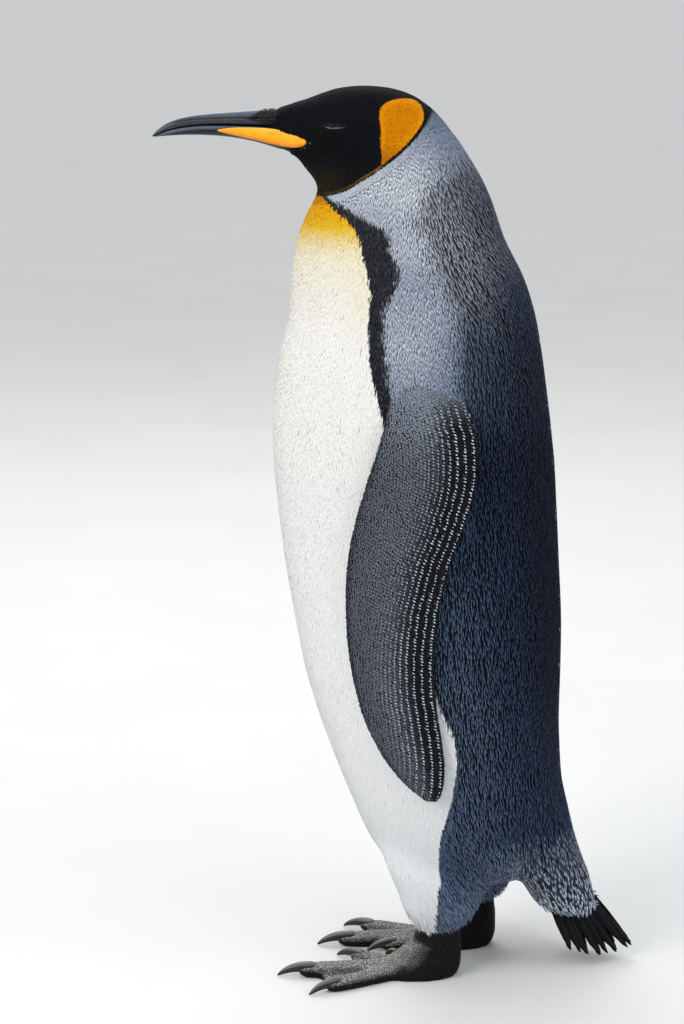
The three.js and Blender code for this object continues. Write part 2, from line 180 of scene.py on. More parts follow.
BODY_GRAIN = 0.004
FOOT_GRAIN = 0.0017
BODY_ROUNDS = 34
HEAD_ROUNDS = 7
LEG_ROUNDS = 10
HEAD_RISE = (0.735, 0.785)  # between these heights the head's own rounding takes over
LEG_RISE = (0.085, 0.15)
FINE_HEAD = 0.762  # the head is made finer above this, and softened from a little lower
SOFT_HEAD = 0.758
BILL_ROOT = 0.012  # this much of the bill's root is grown into the head
TAIL_CUT = 0.060  # the tail root's form stops here, and only quills go on
FLIPPER_ROOT_TUCK = 0.016
TUCK_FROM = 0.55
CORE_INSET = 0.005  # the foot's core lies this far inside the shank, and ends at its top
CORE_TOP = 0.075
CREASE_REACH = 0.005
FLIPPER_CREASE_ROUNDS = 9
FOOT_CREASE_ROUNDS = 3
EYE_MIDDLE = {
    side: (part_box(f"eye_{side}")[0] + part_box(f"eye_{side}")[1]) / 2 for side in ("left", "right")
}
EYE_RADIUS = 0.013
LID_THICK = 0.0007
LID_DOWN = 0.0004  # coat on the lids
LID_SPAN = 0.024
LID_BLEND = 0.0022  # how softly the lids' bulge runs out into the head
SIGN = {"left": 1, "right": -1}


def shape_of(mesh):
    shape = bmesh.new()
    shape.from_mesh(mesh)
    return shape


def loose_copy(node):
    """A copy of a frame node as a bmesh with its corners merged."""
    copy = shape_of(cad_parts[node].data)
    bmesh.ops.remove_doubles(copy, verts=copy.verts, dist=1e-6)
    return copy


def add_to(whole, part):
    mesh = mesh_from("part", part)
    whole.from_mesh(mesh)
    bpy.data.meshes.remove(mesh)


def with_modifier(mesh, kind, **settings):
    """The mesh after one modifier, as a new mesh."""
    carrier = new_object("carrier", mesh)
    modifier = carrier.modifiers.new("change", kind)
    for key, value in settings.items():
        setattr(modifier, key, value)
    bpy.context.view_layer.update()
    result = carrier.evaluated_get(bpy.context.evaluated_depsgraph_get())
    changed = bpy.data.meshes.new_from_object(result)
    bpy.data.objects.remove(carrier)
    return changed


def grown_together(name, shape, grain):
    """One closed surface round everything in a shape, in cells of a size."""
    return with_modifier(mesh_from(name, shape), "REMESH", mode="VOXEL", voxel_size=grain, adaptivity=0)


def cut_away(shape, place, facing, **side):
    """Cuts a shape by a plane, drops what lies on one side of it and closes the hole."""
    everything = shape.verts[:] + shape.edges[:] + shape.faces[:]
    bmesh.ops.bisect_plane(shape, geom=everything, plane_co=place, plane_no=facing, **side)
    bmesh.ops.holes_fill(shape, edges=[edge for edge in shape.edges if edge.is_boundary])


def join_to_quads(shape, face_turn, corner_turn):
    bmesh.ops.join_triangles(
        shape, faces=shape.faces, angle_face_threshold=math.radians(face_turn),
        angle_shape_threshold=math.radians(corner_turn),
    )


def soften(shape, rounds_at):
    """Smooths each corner as many times as rounds_at says for its place."""
    wanted = [(vert, rounds_at(vert.co)) for vert in shape.verts]
    for turn in range(int(max(count for unused, count in wanted))):
        moving = [vert for vert, count in wanted if count > turn]
        bmesh.ops.smooth_vert(
            shape, verts=moving, factor=0.5, use_axis_x=True, use_axis_y=True, use_axis_z=True
        )


def step_up(value, low, high):
    """0 below low, 1 above high, and a smooth rise between."""
    share = np.clip((value - low) / (high - low), 0, 1)
    return share * share * (3 - 2 * share)


def eye_near(place):
    """How far a place is from the nearer eye's middle."""
    return min((place - middle).length for middle in EYE_MIDDLE.values())


def body_rounds(place):
    head_share = float(step_up(place.z, *HEAD_RISE))
    leg_share = 1 - float(step_up(place.z, *LEG_RISE))
    rounds = BODY_ROUNDS + (HEAD_ROUNDS - BODY_ROUNDS) * head_share
    return rounds + (LEG_ROUNDS - rounds) * leg_share


flesh = bmesh.new()
for node in ("head", "neck", "trunk", "leg_left", "leg_right", "eye_left", "eye_right"):
    add_to(flesh, loose_copy(node))
tail_root = loose_copy("tail")
cut_away(tail_root, (0, 0, TAIL_CUT), (0, 0, 1), clear_inner=True)
add_to(flesh, tail_root)
for node in ("bill_upper", "bill_lower", "bill_plate_left", "bill_plate_right"):
    horn = loose_copy(node)
    cut_away(horn, (0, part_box("bill_upper")[1].y - BILL_ROOT, 0), (0, 1, 0), clear_inner=True)
    add_to(flesh, horn)
body = shape_of(grown_together("flesh", flesh, BODY_GRAIN))
soften(body, body_rounds)

# The head is made finer, and the lids finer again.
for reach, rounds in ((None, 3), (0.030, 2), (0.020, 2)):

    def is_near(place, floor_line):
        return place.z > floor_line if reach is None else eye_near(place) < reach

    near = {vert for vert in body.verts if is_near(vert.co, FINE_HEAD)}
    edges = [edge for edge in body.edges if edge.verts[0] in near and edge.verts[1] in near]
    bmesh.ops.subdivide_edges(body, edges=edges, cuts=1, use_grid_fill=True)
    soften(body, lambda place: rounds * is_near(place, SOFT_HEAD))
bmesh.ops.triangulate(body, faces=[face for face in body.faces if len(face.verts) > 4])

# The closed lids bulge over each eyeball.
for side, middle in EYE_MIDDLE.items():
    ball = EYE_RADIUS + LID_THICK + LID_DOWN
    for vert in body.verts:
        away = vert.co - middle
        if away.length < LID_SPAN and away.x * SIGN[side] > 0:
            gap = (ball - away.length) / LID_BLEND
            lift = LID_BLEND * math.log1p(math.exp(gap))
            vert.co = middle + away.normalized() * (away.length + lift)
body_mesh = mesh_from("body", body)


def flipper_form(side):
    """The flipper's own surface, rounded, with its root tucked into the body."""
    shape = loose_copy(f"flipper_{side}")
    join_to_quads(shape, 50, 60)
    top = max(vert.co.z for vert in shape.verts)
    for vert in shape.verts:
        vert.co.x -= SIGN[side] * FLIPPER_ROOT_TUCK * float(step_up(vert.co.z, TUCK_FROM, top))
    mesh = with_modifier(mesh_from("flipper", shape), "SUBSURF", levels=2, render_levels=2)
    shape = shape_of(mesh)
    bmesh.ops.triangulate(shape, faces=shape.faces)
    return mesh_from(f"flipper_form_{side}", shape)


def foot_form(side):
    """The bare foot's surface, with a core that runs up inside the feathered shank."""
    shape = loose_copy(f"foot_{side}")
    core = loose_copy(f"leg_{side}")
    core.normal_update()
    for vert in core.verts:
        vert.co -= vert.normal * CORE_INSET
    cut_away(core, (0, 0, CORE_TOP), (0, 0, 1), clear_outer=True)
    add_to(shape, core)
    shape = shape_of(grown_together("foot", shape, FOOT_GRAIN))
    sole_line = FOOT_GRAIN * 0.8
    soften(shape, lambda place: 2 if place.z < sole_line else 6)
    for vert in shape.verts:
        vert.co.z = max(vert.co.z, 0.0)
    return mesh_from(f"foot_form_{side}", shape)


def tree_of(mesh):
    shape = shape_of(mesh)
    tree = BVHTree.FromBMesh(shape)
    shape.free()
    return tree


flipper_meshes = {side: flipper_form(side) for side in ("left", "right")}
foot_meshes = {side: foot_form(side) for side in ("left", "right")}
flipper_trees = [tree_of(mesh) for mesh in flipper_meshes.values()]
foot_trees = [tree_of(mesh) for mesh in foot_meshes.values()]
body_tree = tree_of(body_mesh)
form_mesh = body_mesh
for limb_mesh in [*flipper_meshes.values(), *foot_meshes.values()]:
    limb = new_object("limb", limb_mesh)
    form_mesh = with_modifier(form_mesh, "BOOLEAN", operation="UNION", object=limb, solver="MANIFOLD")
    bpy.data.objects.remove(limb)


def is_by(trees, place):
    return any(tree.find_nearest(place, CREASE_REACH)[0] is not None for tree in trees)


def joint_rounds(place):
    """Where a limb grows out of the body, the crease is rounded into a fillet."""
    if not is_by([body_tree], place):
        return 0
    if is_by(flipper_trees, place):
        return FLIPPER_CREASE_ROUNDS
    return FOOT_CREASE_ROUNDS if is_by(foot_trees, place) else 0


form = shape_of(form_mesh)
bmesh.ops.remove_doubles(form, verts=form.verts, dist=2e-5)
soften(form, joint_rounds)
form.normal_update()
form_mesh = mesh_from("form", form)
form_tree = tree_of(form_mesh)


# ---------------------------------------------------------------- skin
# One skin under the whole coat, and bare on the feet. It lies inside the tips of the coat by the
# coat's depth, and it carries the coat's markings. Folded lids close over each eye to a slit.

# The lines of the markings are drawn in the side view: how far along and how far up, in millimetres.
HOOD_EDGE = [
    (-60, 748), (-20, 751), (-8, 753), (3.6, 757), (10, 760.4), (15, 764), (22.7, 769), (30.6, 773.8),
    (44, 783.5), (57, 794), (69, 806.5), (77, 818), (84, 830), (110, 846),
]
GOLD_LINE = [
    (37.5, 781), (35.4, 778.6), (30.6, 775), (22.7, 770.2), (15, 765.3), (10, 761.7), (3.6, 758.3),
    (-7.8, 754.3), (-18, 752.3),
]
EAR_PATCH = [
    (34.3, 824), (35.6, 831), (40, 835.6), (47, 838.6), (55.4, 839.8), (63, 839.3), (69, 837),
    (73, 832.8), (75, 826.4), (74.6, 820.5), (71.6, 814.5), (66, 806.7), (59, 799), (52, 792),
    (45, 786.5), (38.4, 781), (36.2, 780), (36.8, 788.7), (35.7, 796), (35.7, 802.5), (36, 809.3),
    (35.2, 816.2),
]
EAR_RING = EAR_PATCH + EAR_PATCH[:1]
GAPE_LINE = [(-37, 793.6), (-32, 795.2), (-28.2, 798.8)]
# The black shafts of the tail show below this line.
TAIL_LINE = [(150, 96), (176, 88), (190, 72), (206, 66), (236, 62), (252, 76), (270, 88)]
# How far back the pale front and the black band behind it reach, and where the spine is, at heights
# from the legs up to the throat.
FRONT_EDGE = [
    (60, 92), (91, 92), (103, 94.6), (123, 92.6), (142, 92), (162, 94), (182, 98.6), (201, 103),
    (221, 105), (240, 107), (264, 101.5), (279, 95), (298, 86.5), (350, 75), (450, 55), (552, 38),
    (580, 29), (611, 24), (647, 23), (665, 25), (684, 21.6), (693, 18.5), (703, 16.6), (712, 14),
    (721, 10), (730, 2.3), (739, -7.3), (749, -17.5), (756, -24),
]
BAND_EDGE = [
    (60, 91), (142, 91), (201, 102), (240, 106), (264, 100), (298, 86), (350, 80), (450, 64),
    (552, 48), (580, 42), (617, 37), (635, 36), (648, 36), (657, 39), (666, 46), (675, 49.5),
    (684, 50.3), (693, 47.3), (703, 41.6), (712, 42), (721, 36.8), (730, 19), (739, 3.2), (749, -13),
    (756, -20),
]
BACK_LINE = [
    (60, 250), (100, 232), (150, 218), (300, 211), (500, 202), (600, 189), (675, 171), (756, 136),
    (832, 81),
]
# The pale front from the legs up to the throat. Its white is toned down by this strength.
FRONT_STRENGTH = 0.6
FRONT_TONES = [
    (90, (247, 250, 253)), (250, (253, 254, 255)), (450, (251, 251, 250)), (620, (249, 247, 242)),
    (662, (245, 242, 232)), (694, (243, 236, 212)), (709, (238, 218, 160)), (719, (236, 196, 60)),
    (727, (232, 180, 14)), (738, (240, 172, 9)), (746, (230, 150, 7)), (758, (216, 130, 6)),
]
CREAM_TONE = (242, 232, 196)  # the front beside the band
# Behind the band the coat runs from blue-black over slate to silver, bluer on the back than on the
# neck. The feathers' dark roots run from black to silver. Each tone comes with its paleness.
BACK_RAMP = [(0, (34, 46, 76)), (1, (90, 114, 154)), (2, (192, 213, 243))]
NECK_RAMP = [(0, (34, 46, 76)), (1, (98, 114, 142)), (2, (206, 211, 218))]
ROOT_RAMP = [(0, (2, 3, 6)), (1, (20, 27, 38)), (2, (80, 88, 100)), (3, (170, 178, 188))]
NECK_RISE = (480, 600)
# Height, then how pale the tips are beside the band, half way back and along the spine, then how
# pale the roots are beside the band and along the spine. The tips' paleness beside the band is
# partly the coat's own silver and partly painted light, where the flank was lit more than the spine.
PALENESS = [
    (40, 1.35, 1.50, 1.15, 1.15, 0.65), (123, 1.20, 1.55, 1.25, 1.00, 0.25),
    (150, 1.20, 1.00, 0.80, 0.90, 0.20), (220, 1.20, 1.00, 0.35, 0.50, 0.10),
    (300, 1.25, 0.80, 0.10, 0.40, 0.00), (400, 1.10, 0.65, 0.05, 0.20, 0.00),
    (510, 0.75, 0.30, 0.10, 0.75, 0.00), (567, 1.30, 0.90, 0.35, 1.45, 0.05),
    (619, 1.60, 1.05, 0.50, 2.00, 0.05), (677, 1.40, 1.70, 1.10, 1.60, 0.20),
    (705, 1.65, 2.00, 1.45, 1.65, 0.30), (734, 1.55, 1.90, 1.30, 2.50, 1.00),
    (763, 1.75, 1.80, 1.40, 2.95, 1.25), (840, 1.80, 1.45, 1.00, 2.70, 1.35),
]
# Pairs are the tone at the feathers' tips and the tone at their roots.
TAIL_BLACK = ((27, 28, 31), (9, 9, 12))
BAND_TONES = ((44, 45, 51), (14, 14, 18))
HOOD_TONES = ((17, 18, 22), (5, 5, 7))
OLIVE_TONES = ((37, 34, 17), (15, 14, 8))
EAR_TONES = {"rim": (224, 142, 0), "middle": (210, 127, 0), "low": (186, 108, 0)}
RIM_TONES = [(-20, (60, 52, 28)), (5, (84, 66, 24)), (20, (128, 84, 14)), (37, (176, 112, 12))]
GAPE_TONE = (92, 90, 76)
# The bare feet's own deep tone, and a pale tone painted on their upward faces as a painted highlight.
FOOT_TONES = {"painted_highlight": (150, 148, 145), "deep": (7, 6, 7)}
OUTER_FLIPPER_SKIN = (30, 34, 42)
INNER_FLIPPER_SKIN = (150, 154, 160)
STRIDE = 38  # the right foot stands this much further back


def on_line(value, line):
    """Where a bent line runs at each value."""
    return np.interp(value, *zip(*line))


def tone_at(value, stops):
    """The linear tone at each value, from stops of a value and its tone."""
    places = [place for place, tone in stops]
    tones = np.array([linear(*tone) for place, tone in stops])
    return np.stack([np.interp(value, places, tones[:, part]) for part in range(3)], axis=1)


def mixed(under, over, share):
    return under + (np.asarray(over) - under) * np.asarray(share)[:, None]


def line_gap(along, up, line):
    """Distance of each point from a bent line, in the side view."""
    gap = np.full(along.shape, np.inf)
    for (start_along, start_up), (end_along, end_up) in zip(line, line[1:]):
        stride, climb = end_along - start_along, end_up - start_up
        share = (along - start_along) * stride + (up - start_up) * climb
        share = np.clip(share / (stride ** 2 + climb ** 2), 0, 1)
        away = np.hypot(along - start_along - share * stride, up - start_up - share * climb)
        gap = np.minimum(gap, away)
    return gap


def inside_of(along, up, outline):
    inside = np.zeros(along.shape, bool)
    for (start_along, start_up), (end_along, end_up) in zip(outline, outline[1:] + outline[:1]):
        crosses = (start_up > up) != (end_up > up)
        reach = (end_along - start_along) * (up - start_up) / ((end_up - start_up) or 1e-9) + start_along
        inside ^= crosses & (along < reach)
    return inside


def side_view(places):
    """Millimetres behind the base line, above the floor and away from the middle."""
    return (places[:, 1] - BASE_LINE) * 1000, places[:, 2] * 1000, places[:, 0] * 1000


def place_of(across, along, up):
    """The place with these millimetres."""
    return Vector((across / 1000, along / 1000 + BASE_LINE, up / 1000))


def beside_left(along, up, aside):
    """How far back a point would lie if both feet stood level with the left one."""
    return along - np.where(aside < 0, STRIDE * (1 - step_up(up, 90, 150)), 0)


def hood_depth(along, up):
    """How far inside the black hood a point lies, in millimetres."""
    return (up - on_line(along, HOOD_EDGE)) * 0.72


def far_back(up, behind):
    """How far each point lies from the band, 0, to the spine, 1."""
    band_edge = on_line(up, BAND_EDGE)
    return (behind - band_edge) / np.maximum(on_line(up, BACK_LINE) - band_edge, 20)


def back_tones(up, behind):
    """Slate and silver tips and dark roots, behind the band. Beside the band the tips are paler, partly as
    painted light on the flank.
    """
    share = np.clip(far_back(up, behind), 0, 1)
    heights, *columns = zip(*PALENESS)
    tip_pale, root_pale = np.split(np.array([np.interp(up, heights, column) for column in columns]), [3])
    neck_share = step_up(up, *NECK_RISE)
    beside, middle, spine = (
        mixed(tone_at(pale, BACK_RAMP), tone_at(pale, NECK_RAMP), neck_share) for pale in tip_pale
    )
    tips = mixed(mixed(beside, middle, step_up(share, 0.15, 0.58)), spine, step_up(share, 0.5, 0.95))
    root_beside, root_spine = (tone_at(pale, ROOT_RAMP) for pale in root_pale)
    return tips, mixed(root_beside, root_spine, step_up(share, 0.05, 0.95) ** 0.6)


def front_tones(up, behind, ragged):
    """White, cream and orange, creamier beside the band."""
    front_tone = tone_at(up + ragged * 2, FRONT_TONES)
    beside = step_up(on_line(up, FRONT_EDGE) - behind, 0, 30)
    cream_share = 0.55 * (1 - beside) * step_up(up, 600, 680)
    cream = mixed(front_tone, linear(*CREAM_TONE), cream_share)
    return mixed(cream, front_tone, step_up(up, 690, 712)) * FRONT_STRENGTH


def markings(places, ragged=0.0):
    """Tip and root tones of the coat at each place. ragged shifts its borders, in millimetres."""
    along, up, aside = side_view(places)
    along_leg = beside_left(along, up, aside)
    band_edge = on_line(up, BAND_EDGE)
    front_edge = on_line(up, FRONT_EDGE)
    behind = along_leg + ragged * 0.35
    tips, roots = back_tones(up, behind)

    def lay(share, tip, root):
        return mixed(tips, tip, share), mixed(roots, root, share)

    def lay_pair(share, pair):
        return lay(share, linear(*pair[0]), linear(*pair[1]))

    band = 1 - step_up(along_leg + ragged * 1.6, band_edge - 2.0, band_edge + 4.0)
    tips, roots = lay_pair(band, BAND_TONES)
    front_tone = front_tones(up, behind, ragged)
    tips, roots = lay(1 - step_up(behind, front_edge - 0.5, front_edge + 0.5), front_tone, front_tone)
    tail_line = on_line(along, TAIL_LINE)
    black_tail = 1 - step_up(up + ragged * 2, tail_line - 2, tail_line + 2)
    tips, roots = lay_pair(black_tail * step_up(along, 166, 172), TAIL_BLACK)

    # the hood, olive under the bill
    near_ear = line_gap(along, up, EAR_RING)
    inner = np.where(inside_of(along, up, EAR_PATCH), near_ear, -near_ear) + ragged * 0.12
    depth = hood_depth(along, up) + ragged * 0.25
    nape = step_up(along, 70, 95)
    hood = np.maximum(step_up(depth, -1.2 - 8 * nape, -0.4 + 3 * nape), step_up(inner, -3.0, -2.1))
    olive = step_up(12 - along, 0, 26) * step_up(788 - up, 0, 26) * 0.75
    hood_tips, hood_roots = (
        mixed(linear(*black), linear(*greenish), olive) for black, greenish in zip(HOOD_TONES, OLIVE_TONES)
    )
    tips, roots = lay(hood, hood_tips, hood_roots)

    # its gold rim, the ear patch in the hood's dark outline, and the pale corner of the mouth
    rim = np.exp(-((line_gap(along, up, GOLD_LINE) / 0.5) ** 2)) * step_up(np.abs(aside), 8, 20)
    rim_tone = tone_at(along, RIM_TONES)
    tips = mixed(tips, rim_tone, rim * 0.9)
    roots = mixed(roots, rim_tone * 0.6, rim * 0.8)
    ear = step_up(inner, -0.45, 0.45) * step_up(np.abs(aside), 8, 12)
    ear_tone = mixed(linear(*EAR_TONES["middle"]), linear(*EAR_TONES["rim"]), 1 - step_up(inner, 0, 9))
    ear_tone = mixed(ear_tone, linear(*EAR_TONES["low"]), 1 - step_up(up, 783, 803))
    tips, roots = lay(ear, ear_tone, ear_tone * 0.8)
    gape = np.exp(-((line_gap(along, up, GAPE_LINE) / 0.55) ** 2)) * step_up(np.abs(aside), 10, 14)
    tips, roots = lay_pair(gape, (GAPE_TONE, GAPE_TONE))
    return np.clip(tips, 0, 1), np.clip(roots, 0, 1)


def body_grain(places):
    """How the coat's grain runs from fine and even, 0, in front and by the hood, to coarse, 1, down
    the nape and back. Gives that, the front's share and the gap between feathers."""
    along, up, aside = side_view(places)
    along = beside_left(along, up, aside)
    front_edge = on_line(up, FRONT_EDGE)
    front = 1 - step_up(along, front_edge - 1, front_edge + 1)
    coarse = step_up(far_back(up, along), 0.08, 0.45)
    coarse = np.maximum(coarse, 1 - step_up(up, 430, 560))
    coarse *= 1 - front
    coarse *= step_up(-hood_depth(along, up), 20, 62)
    by_wing = step_up(np.abs(aside), 74, 98) * step_up(up, 500, 550) * (1 - step_up(up, 640, 700))
    by_wing *= 1 - step_up(along, 84, 118)
    coarse *= 1 - by_wing
    gap = np.interp(coarse, [0, 1], [1.0, 1.5]) - 0.06 * front
    leg = 1 - step_up(up, 70, 150)
    return coarse, front, (gap + (1.1 - gap) * leg) / 1000


def coat_tones(places, ragged=0.0):
    """Tips and roots of the body's coat. The roots are as dark as marked only where it is coarse."""
    tips, roots = markings(places, ragged)
    coarse, front, unused = body_grain(places)
    return tips, mixed(tips * (0.8 + 0.2 * front)[:, None], roots, (0.05 + 0.95 * coarse) * (1 - front))


def mesh_points(mesh, what="co"):
    """Every corner's place in a mesh, or its normal."""
    flat = np.empty(len(mesh.vertices) * 3)
    mesh.vertices.foreach_get(what, flat)
    return flat.reshape(-1, 3)


def paint(mesh, tones):
    """Stores one linear tone for each corner point of a mesh."""
    layer = mesh.color_attributes.new(name="tone", type="FLOAT_COLOR", domain="POINT")
    layer.data.foreach_set("color", np.concatenate([tones, np.ones((len(tones), 1))], axis=1).ravel())


def shade_smooth(mesh):
    for polygon in mesh.polygons:
        polygon.use_smooth = True


def toned(finish, shade, roughness, shine, relief=None, strength=0, depth=0):
    """Gives a finish its mesh's own tone times a shade, and a fine relief."""
    material, shader, add, links = finish
    tone = add("Attribute", attribute_name="tone").outputs["Color"]
    scaled = add("VectorMath", {0: tone, 3: shade}, operation="SCALE")
    links.new(scaled.outputs[0], shader.inputs["Base Color"])
    if relief is not None:
        bump = add("Bump", {"Height": relief, "Strength": strength, "Distance": depth})
        links.new(bump.outputs["Normal"], shader.inputs["Normal"])
    shader.inputs["Roughness"].default_value = roughness
    shader.inputs["Specular IOR Level"].default_value = shine
    return material


def smooth_field(mesh, field, rounds):
    """Evens a value out over neighbouring points of a mesh."""
    pairs = np.empty(len(mesh.edges) * 2, np.int64)
    mesh.edges.foreach_get("vertices", pairs)
    one, other = pairs.reshape(-1, 2).T
    count = np.bincount(one, minlength=len(field)) + np.bincount(other, minlength=len(field))
    for unused in range(rounds):
        total = np.bincount(one, field[other], len(field)) + np.bincount(other, field[one], len(field))
        field = 0.5 * field + 0.5 * total / np.maximum(count, 1)
    return field


form_points = mesh_points(form_mesh)
form_normals = mesh_points(form_mesh, "normal")
along, up, aside = side_view(form_points)


def gap_to(trees, points, reach=0.01):
    """How far each point is from the nearest of some surfaces, up to a reach."""
    gaps = np.full(len(points), reach)
    for index, point in enumerate(points):
        for tree in trees:
            gap = tree.find_nearest(Vector(point), reach)[3]
            if gap is not None:
                gaps[index] = min(gaps[index], gap)
    return gaps


# The coat's depth at heights up the body, and where it thins towards the bill and on the lids.
COAT_DEPTHS = [
    (45, 1.0), (60, 1.2), (100, 1.4), (200, 1.7), (620, 1.7), (700, 1.5), (760, 1.3), (790, 1.1),
]
BILL_DEPTHS = [(-75, 0.0005), (-30, 0.0011)]
LID_DEPTHS = [(0.0145, LID_DOWN), (0.022, 0.0011)]
FRONT_THINNER = 0.35
FLIPPER_DEPTH = 0.0008
THIN_SHARE = 0.28  # of a thin flipper's thickness, the most that the coat takes on one face
FOOT_TOP = 54  # bare skin reaches up to here, in millimetres

on_flipper = gap_to(flipper_trees, form_points) < 0.0006
bare = (gap_to(foot_trees, form_points) < 0.0004) & (up < FOOT_TOP)
eye_gap = np.array([eye_near(Vector(point)) for point in form_points])
coat_depth = on_line(up, COAT_DEPTHS) / 1000
coat_depth = np.where((up > 740) & (along < -30), on_line(along, BILL_DEPTHS), coat_depth)
coat_depth = np.where(eye_gap < LID_SPAN, on_line(eye_gap, LID_DEPTHS), coat_depth)
past_front = step_up(beside_left(along, up, aside) - on_line(up, FRONT_EDGE), -4, 4)
coat_depth *= 1 - FRONT_THINNER * (1 - past_front) * (1 - step_up(up, 740, 770))
coat_depth[on_flipper] = FLIPPER_DEPTH
coat_depth[bare] = 0
coat_depth = smooth_field(form_mesh, coat_depth, 4)
coat_depth[bare] = 0


def thickness_at(point, normal):
    """How thick the form is under a point, up to 30 mm."""
    hit = form_tree.ray_cast(Vector(point - normal * 1e-5), Vector(-normal), 0.03)
    return hit[3] if hit[0] is not None else 0.03


thin = np.nonzero(on_flipper)[0]
room = np.array([thickness_at(form_points[index], form_normals[index]) for index in thin])
coat_depth[thin] = np.minimum(coat_depth[thin], room * THIN_SHARE)
skin_points = form_points - form_normals * coat_depth[:, None]

# The slit between the lids, in millimetres from the eye's middle.
SLIT_HALF = 10.4
SLIT_TOP = 0.9
SLIT_BOTTOM = 2.1
SLIT_RISE = 0.9  # the slit lies this much above the eye's middle
SNAP = 0.22
RIM_WIDE = 0.8
LID_TONES = {"slit": (12, 9, 10), "rim": (118, 114, 114)}


def bulge(value, middle, width):
    return np.exp(-((value - middle) / width) ** 2)


lid_rim = np.zeros(len(skin_points))
lid_dark = np.zeros(len(skin_points))
for side, middle in EYE_MIDDLE.items():
    offset = (skin_points - np.array(middle)) * 1000
    near = (np.linalg.norm(offset, axis=1) < LID_SPAN * 1000) & (offset[:, 0] * SIGN[side] > 3)
    across, rise = offset[:, 1], offset[:, 2] - SLIT_RISE
    between = np.abs(across) < SLIT_HALF
    arch = np.clip(1 - (across / SLIT_HALF) ** 2, 0, 1)
    top, bottom = SLIT_TOP * arch, -SLIT_BOTTOM * arch
    # corners beside an edge of the slit are drawn onto it
    for index in np.nonzero(near & between)[0]:
        for edge in (top[index], bottom[index]):
            if abs(rise[index] - edge) < SNAP and arch[index] > 0.05:
                skin_points[index, 2] += (edge - rise[index]) * 0.001
    offset = (skin_points - np.array(middle)) * 1000
    rise = offset[:, 2] - SLIT_RISE
    below, above = bottom - rise, rise - top
    open_depth = np.minimum(-above, -below)
    inward = near & (open_depth > 0.08) & between
    push = np.zeros(len(skin_points))
    push[inward] = -2.0 * step_up(open_depth[inward], 0.0, 0.5) - 0.8
    # two folds round the slit: a raised edge beside it and a furrow past that
    within = near & ~inward & (np.abs(across) < SLIT_HALF + 1.5)
    push[within] += 0.45 * bulge(below[within], 0.5, 0.5) * step_up(arch[within], 0, 0.2)
    push[within] += 0.35 * bulge(above[within], 0.5, 0.5)
    push[within] -= 0.35 * bulge(above[within], 3.2, 0.6)
    push[within] -= 0.3 * bulge(below[within], 3.4, 0.6)
    outward = offset / np.maximum(np.linalg.norm(offset, axis=1), 1e-6)[:, None]
    skin_points[near] += outward[near] * push[near, None] * 0.001
    rim = near & (below > -0.1) & (below < RIM_WIDE) & (arch > 0.02)
    lid_rim[rim] = step_up(arch[rim], 0.2, 0.9)
    lid_dark[near & (open_depth > -0.1) & between] = 1

skin_mesh = form_mesh.copy()
skin_mesh.name = "skin"
skin_mesh.vertices.foreach_set("co", skin_points.ravel())
skin_tones = coat_tones(form_points)[1]
inner_face = on_flipper & (form_normals[:, 0] * np.sign(form_points[:, 0]) < 0)
skin_tones[on_flipper] = linear(*OUTER_FLIPPER_SKIN)
skin_tones[inner_face] = linear(*INNER_FLIPPER_SKIN)
# Upward faces of the bare feet are painted paler: a painted highlight.
painted_highlight_share = 0.35 * step_up(form_normals[bare, 2], 0.15, 0.9)
skin_tones[bare] = mixed(linear(*FOOT_TONES["deep"]), linear(*FOOT_TONES["painted_highlight"]), painted_highlight_share)
skin_tones = mixed(skin_tones, linear(*LID_TONES["rim"]), lid_rim)
skin_tones = mixed(skin_tones, linear(*LID_TONES["slit"]), lid_dark)
paint(skin_mesh, skin_tones)
bare_skin = node_material("skin")
add = bare_skin[2]
place = add("TexCoord").outputs["Object"]
pores = add("TexVoronoi", {"Vector": place, "Scale": 420.0}, feature="DISTANCE_TO_EDGE").outputs["Distance"]
seams = add("MapRange", {"Value": pores, "From Max": 0.12, "To Min": 0.55, "To Max": 1.0})
mottle = add("TexNoise", {"Vector": place, "Scale": 160.0, "Detail": 3.0})
mottled = add("MapRange", {"Value": mottle.outputs["Fac"], "To Min": 0.7, "To Max": 1.3})
product = add("Math", {0: seams.outputs["Result"], 1: mottled.outputs["Result"]}, operation="MULTIPLY")
skin_material = toned(bare_skin, product.outputs[0], 0.55, 0.1, seams.outputs["Result"], 0.5, 0.0006)
skin_mesh.materials.append(skin_material)
shade_smooth(skin_mesh)
skin = new_object("skin", skin_mesh)
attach(skin, "root")
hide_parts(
    "head", "neck", "trunk", "tail", "leg_left", "leg_right",
    "foot_left", "foot_right", "flipper_left", "flipper_right",
)


# ---------------------------------------------------------------- coat
# Small stiff feathers, rooted in the skin and lying back over each other like tiles, so that only
# their tips show. They are shortest round the bill and the lids and longest on the rump.

RANDOM = np.random.default_rng(20)
SLIT_CLEAR = {"across": 11.2, "over": 1.9, "under": 3.6}  # bare round the slit, in millimetres
PATCH = 0.003  # one vane's patch on its unwrap


def vane_pattern():
    """A thin closed blade of six faces. Each corner's station, how far across and up it is, and faces."""
    blade = bmesh.new()
    bmesh.ops.create_uvsphere(blade, u_segments=3, v_segments=2, radius=1)
    bmesh.ops.triangulate(blade, faces=blade.faces)
    blade.verts.index_update()
    station = np.array([round(vert.co.z) + 1 for vert in blade.verts])
    widest = max(abs(vert.co.x) for vert in blade.verts)
    across = np.array([-vert.co.x / widest for vert in blade.verts])
    up = np.array([max(vert.co.y, -0.15) for vert in blade.verts])
    faces = np.array([[vert.index for vert in face.verts] for face in blade.faces])
    blade.free()
    return station, across, up, faces


VANE_STATION, VANE_ACROSS, VANE_UP, VANE_FACES = vane_pattern()


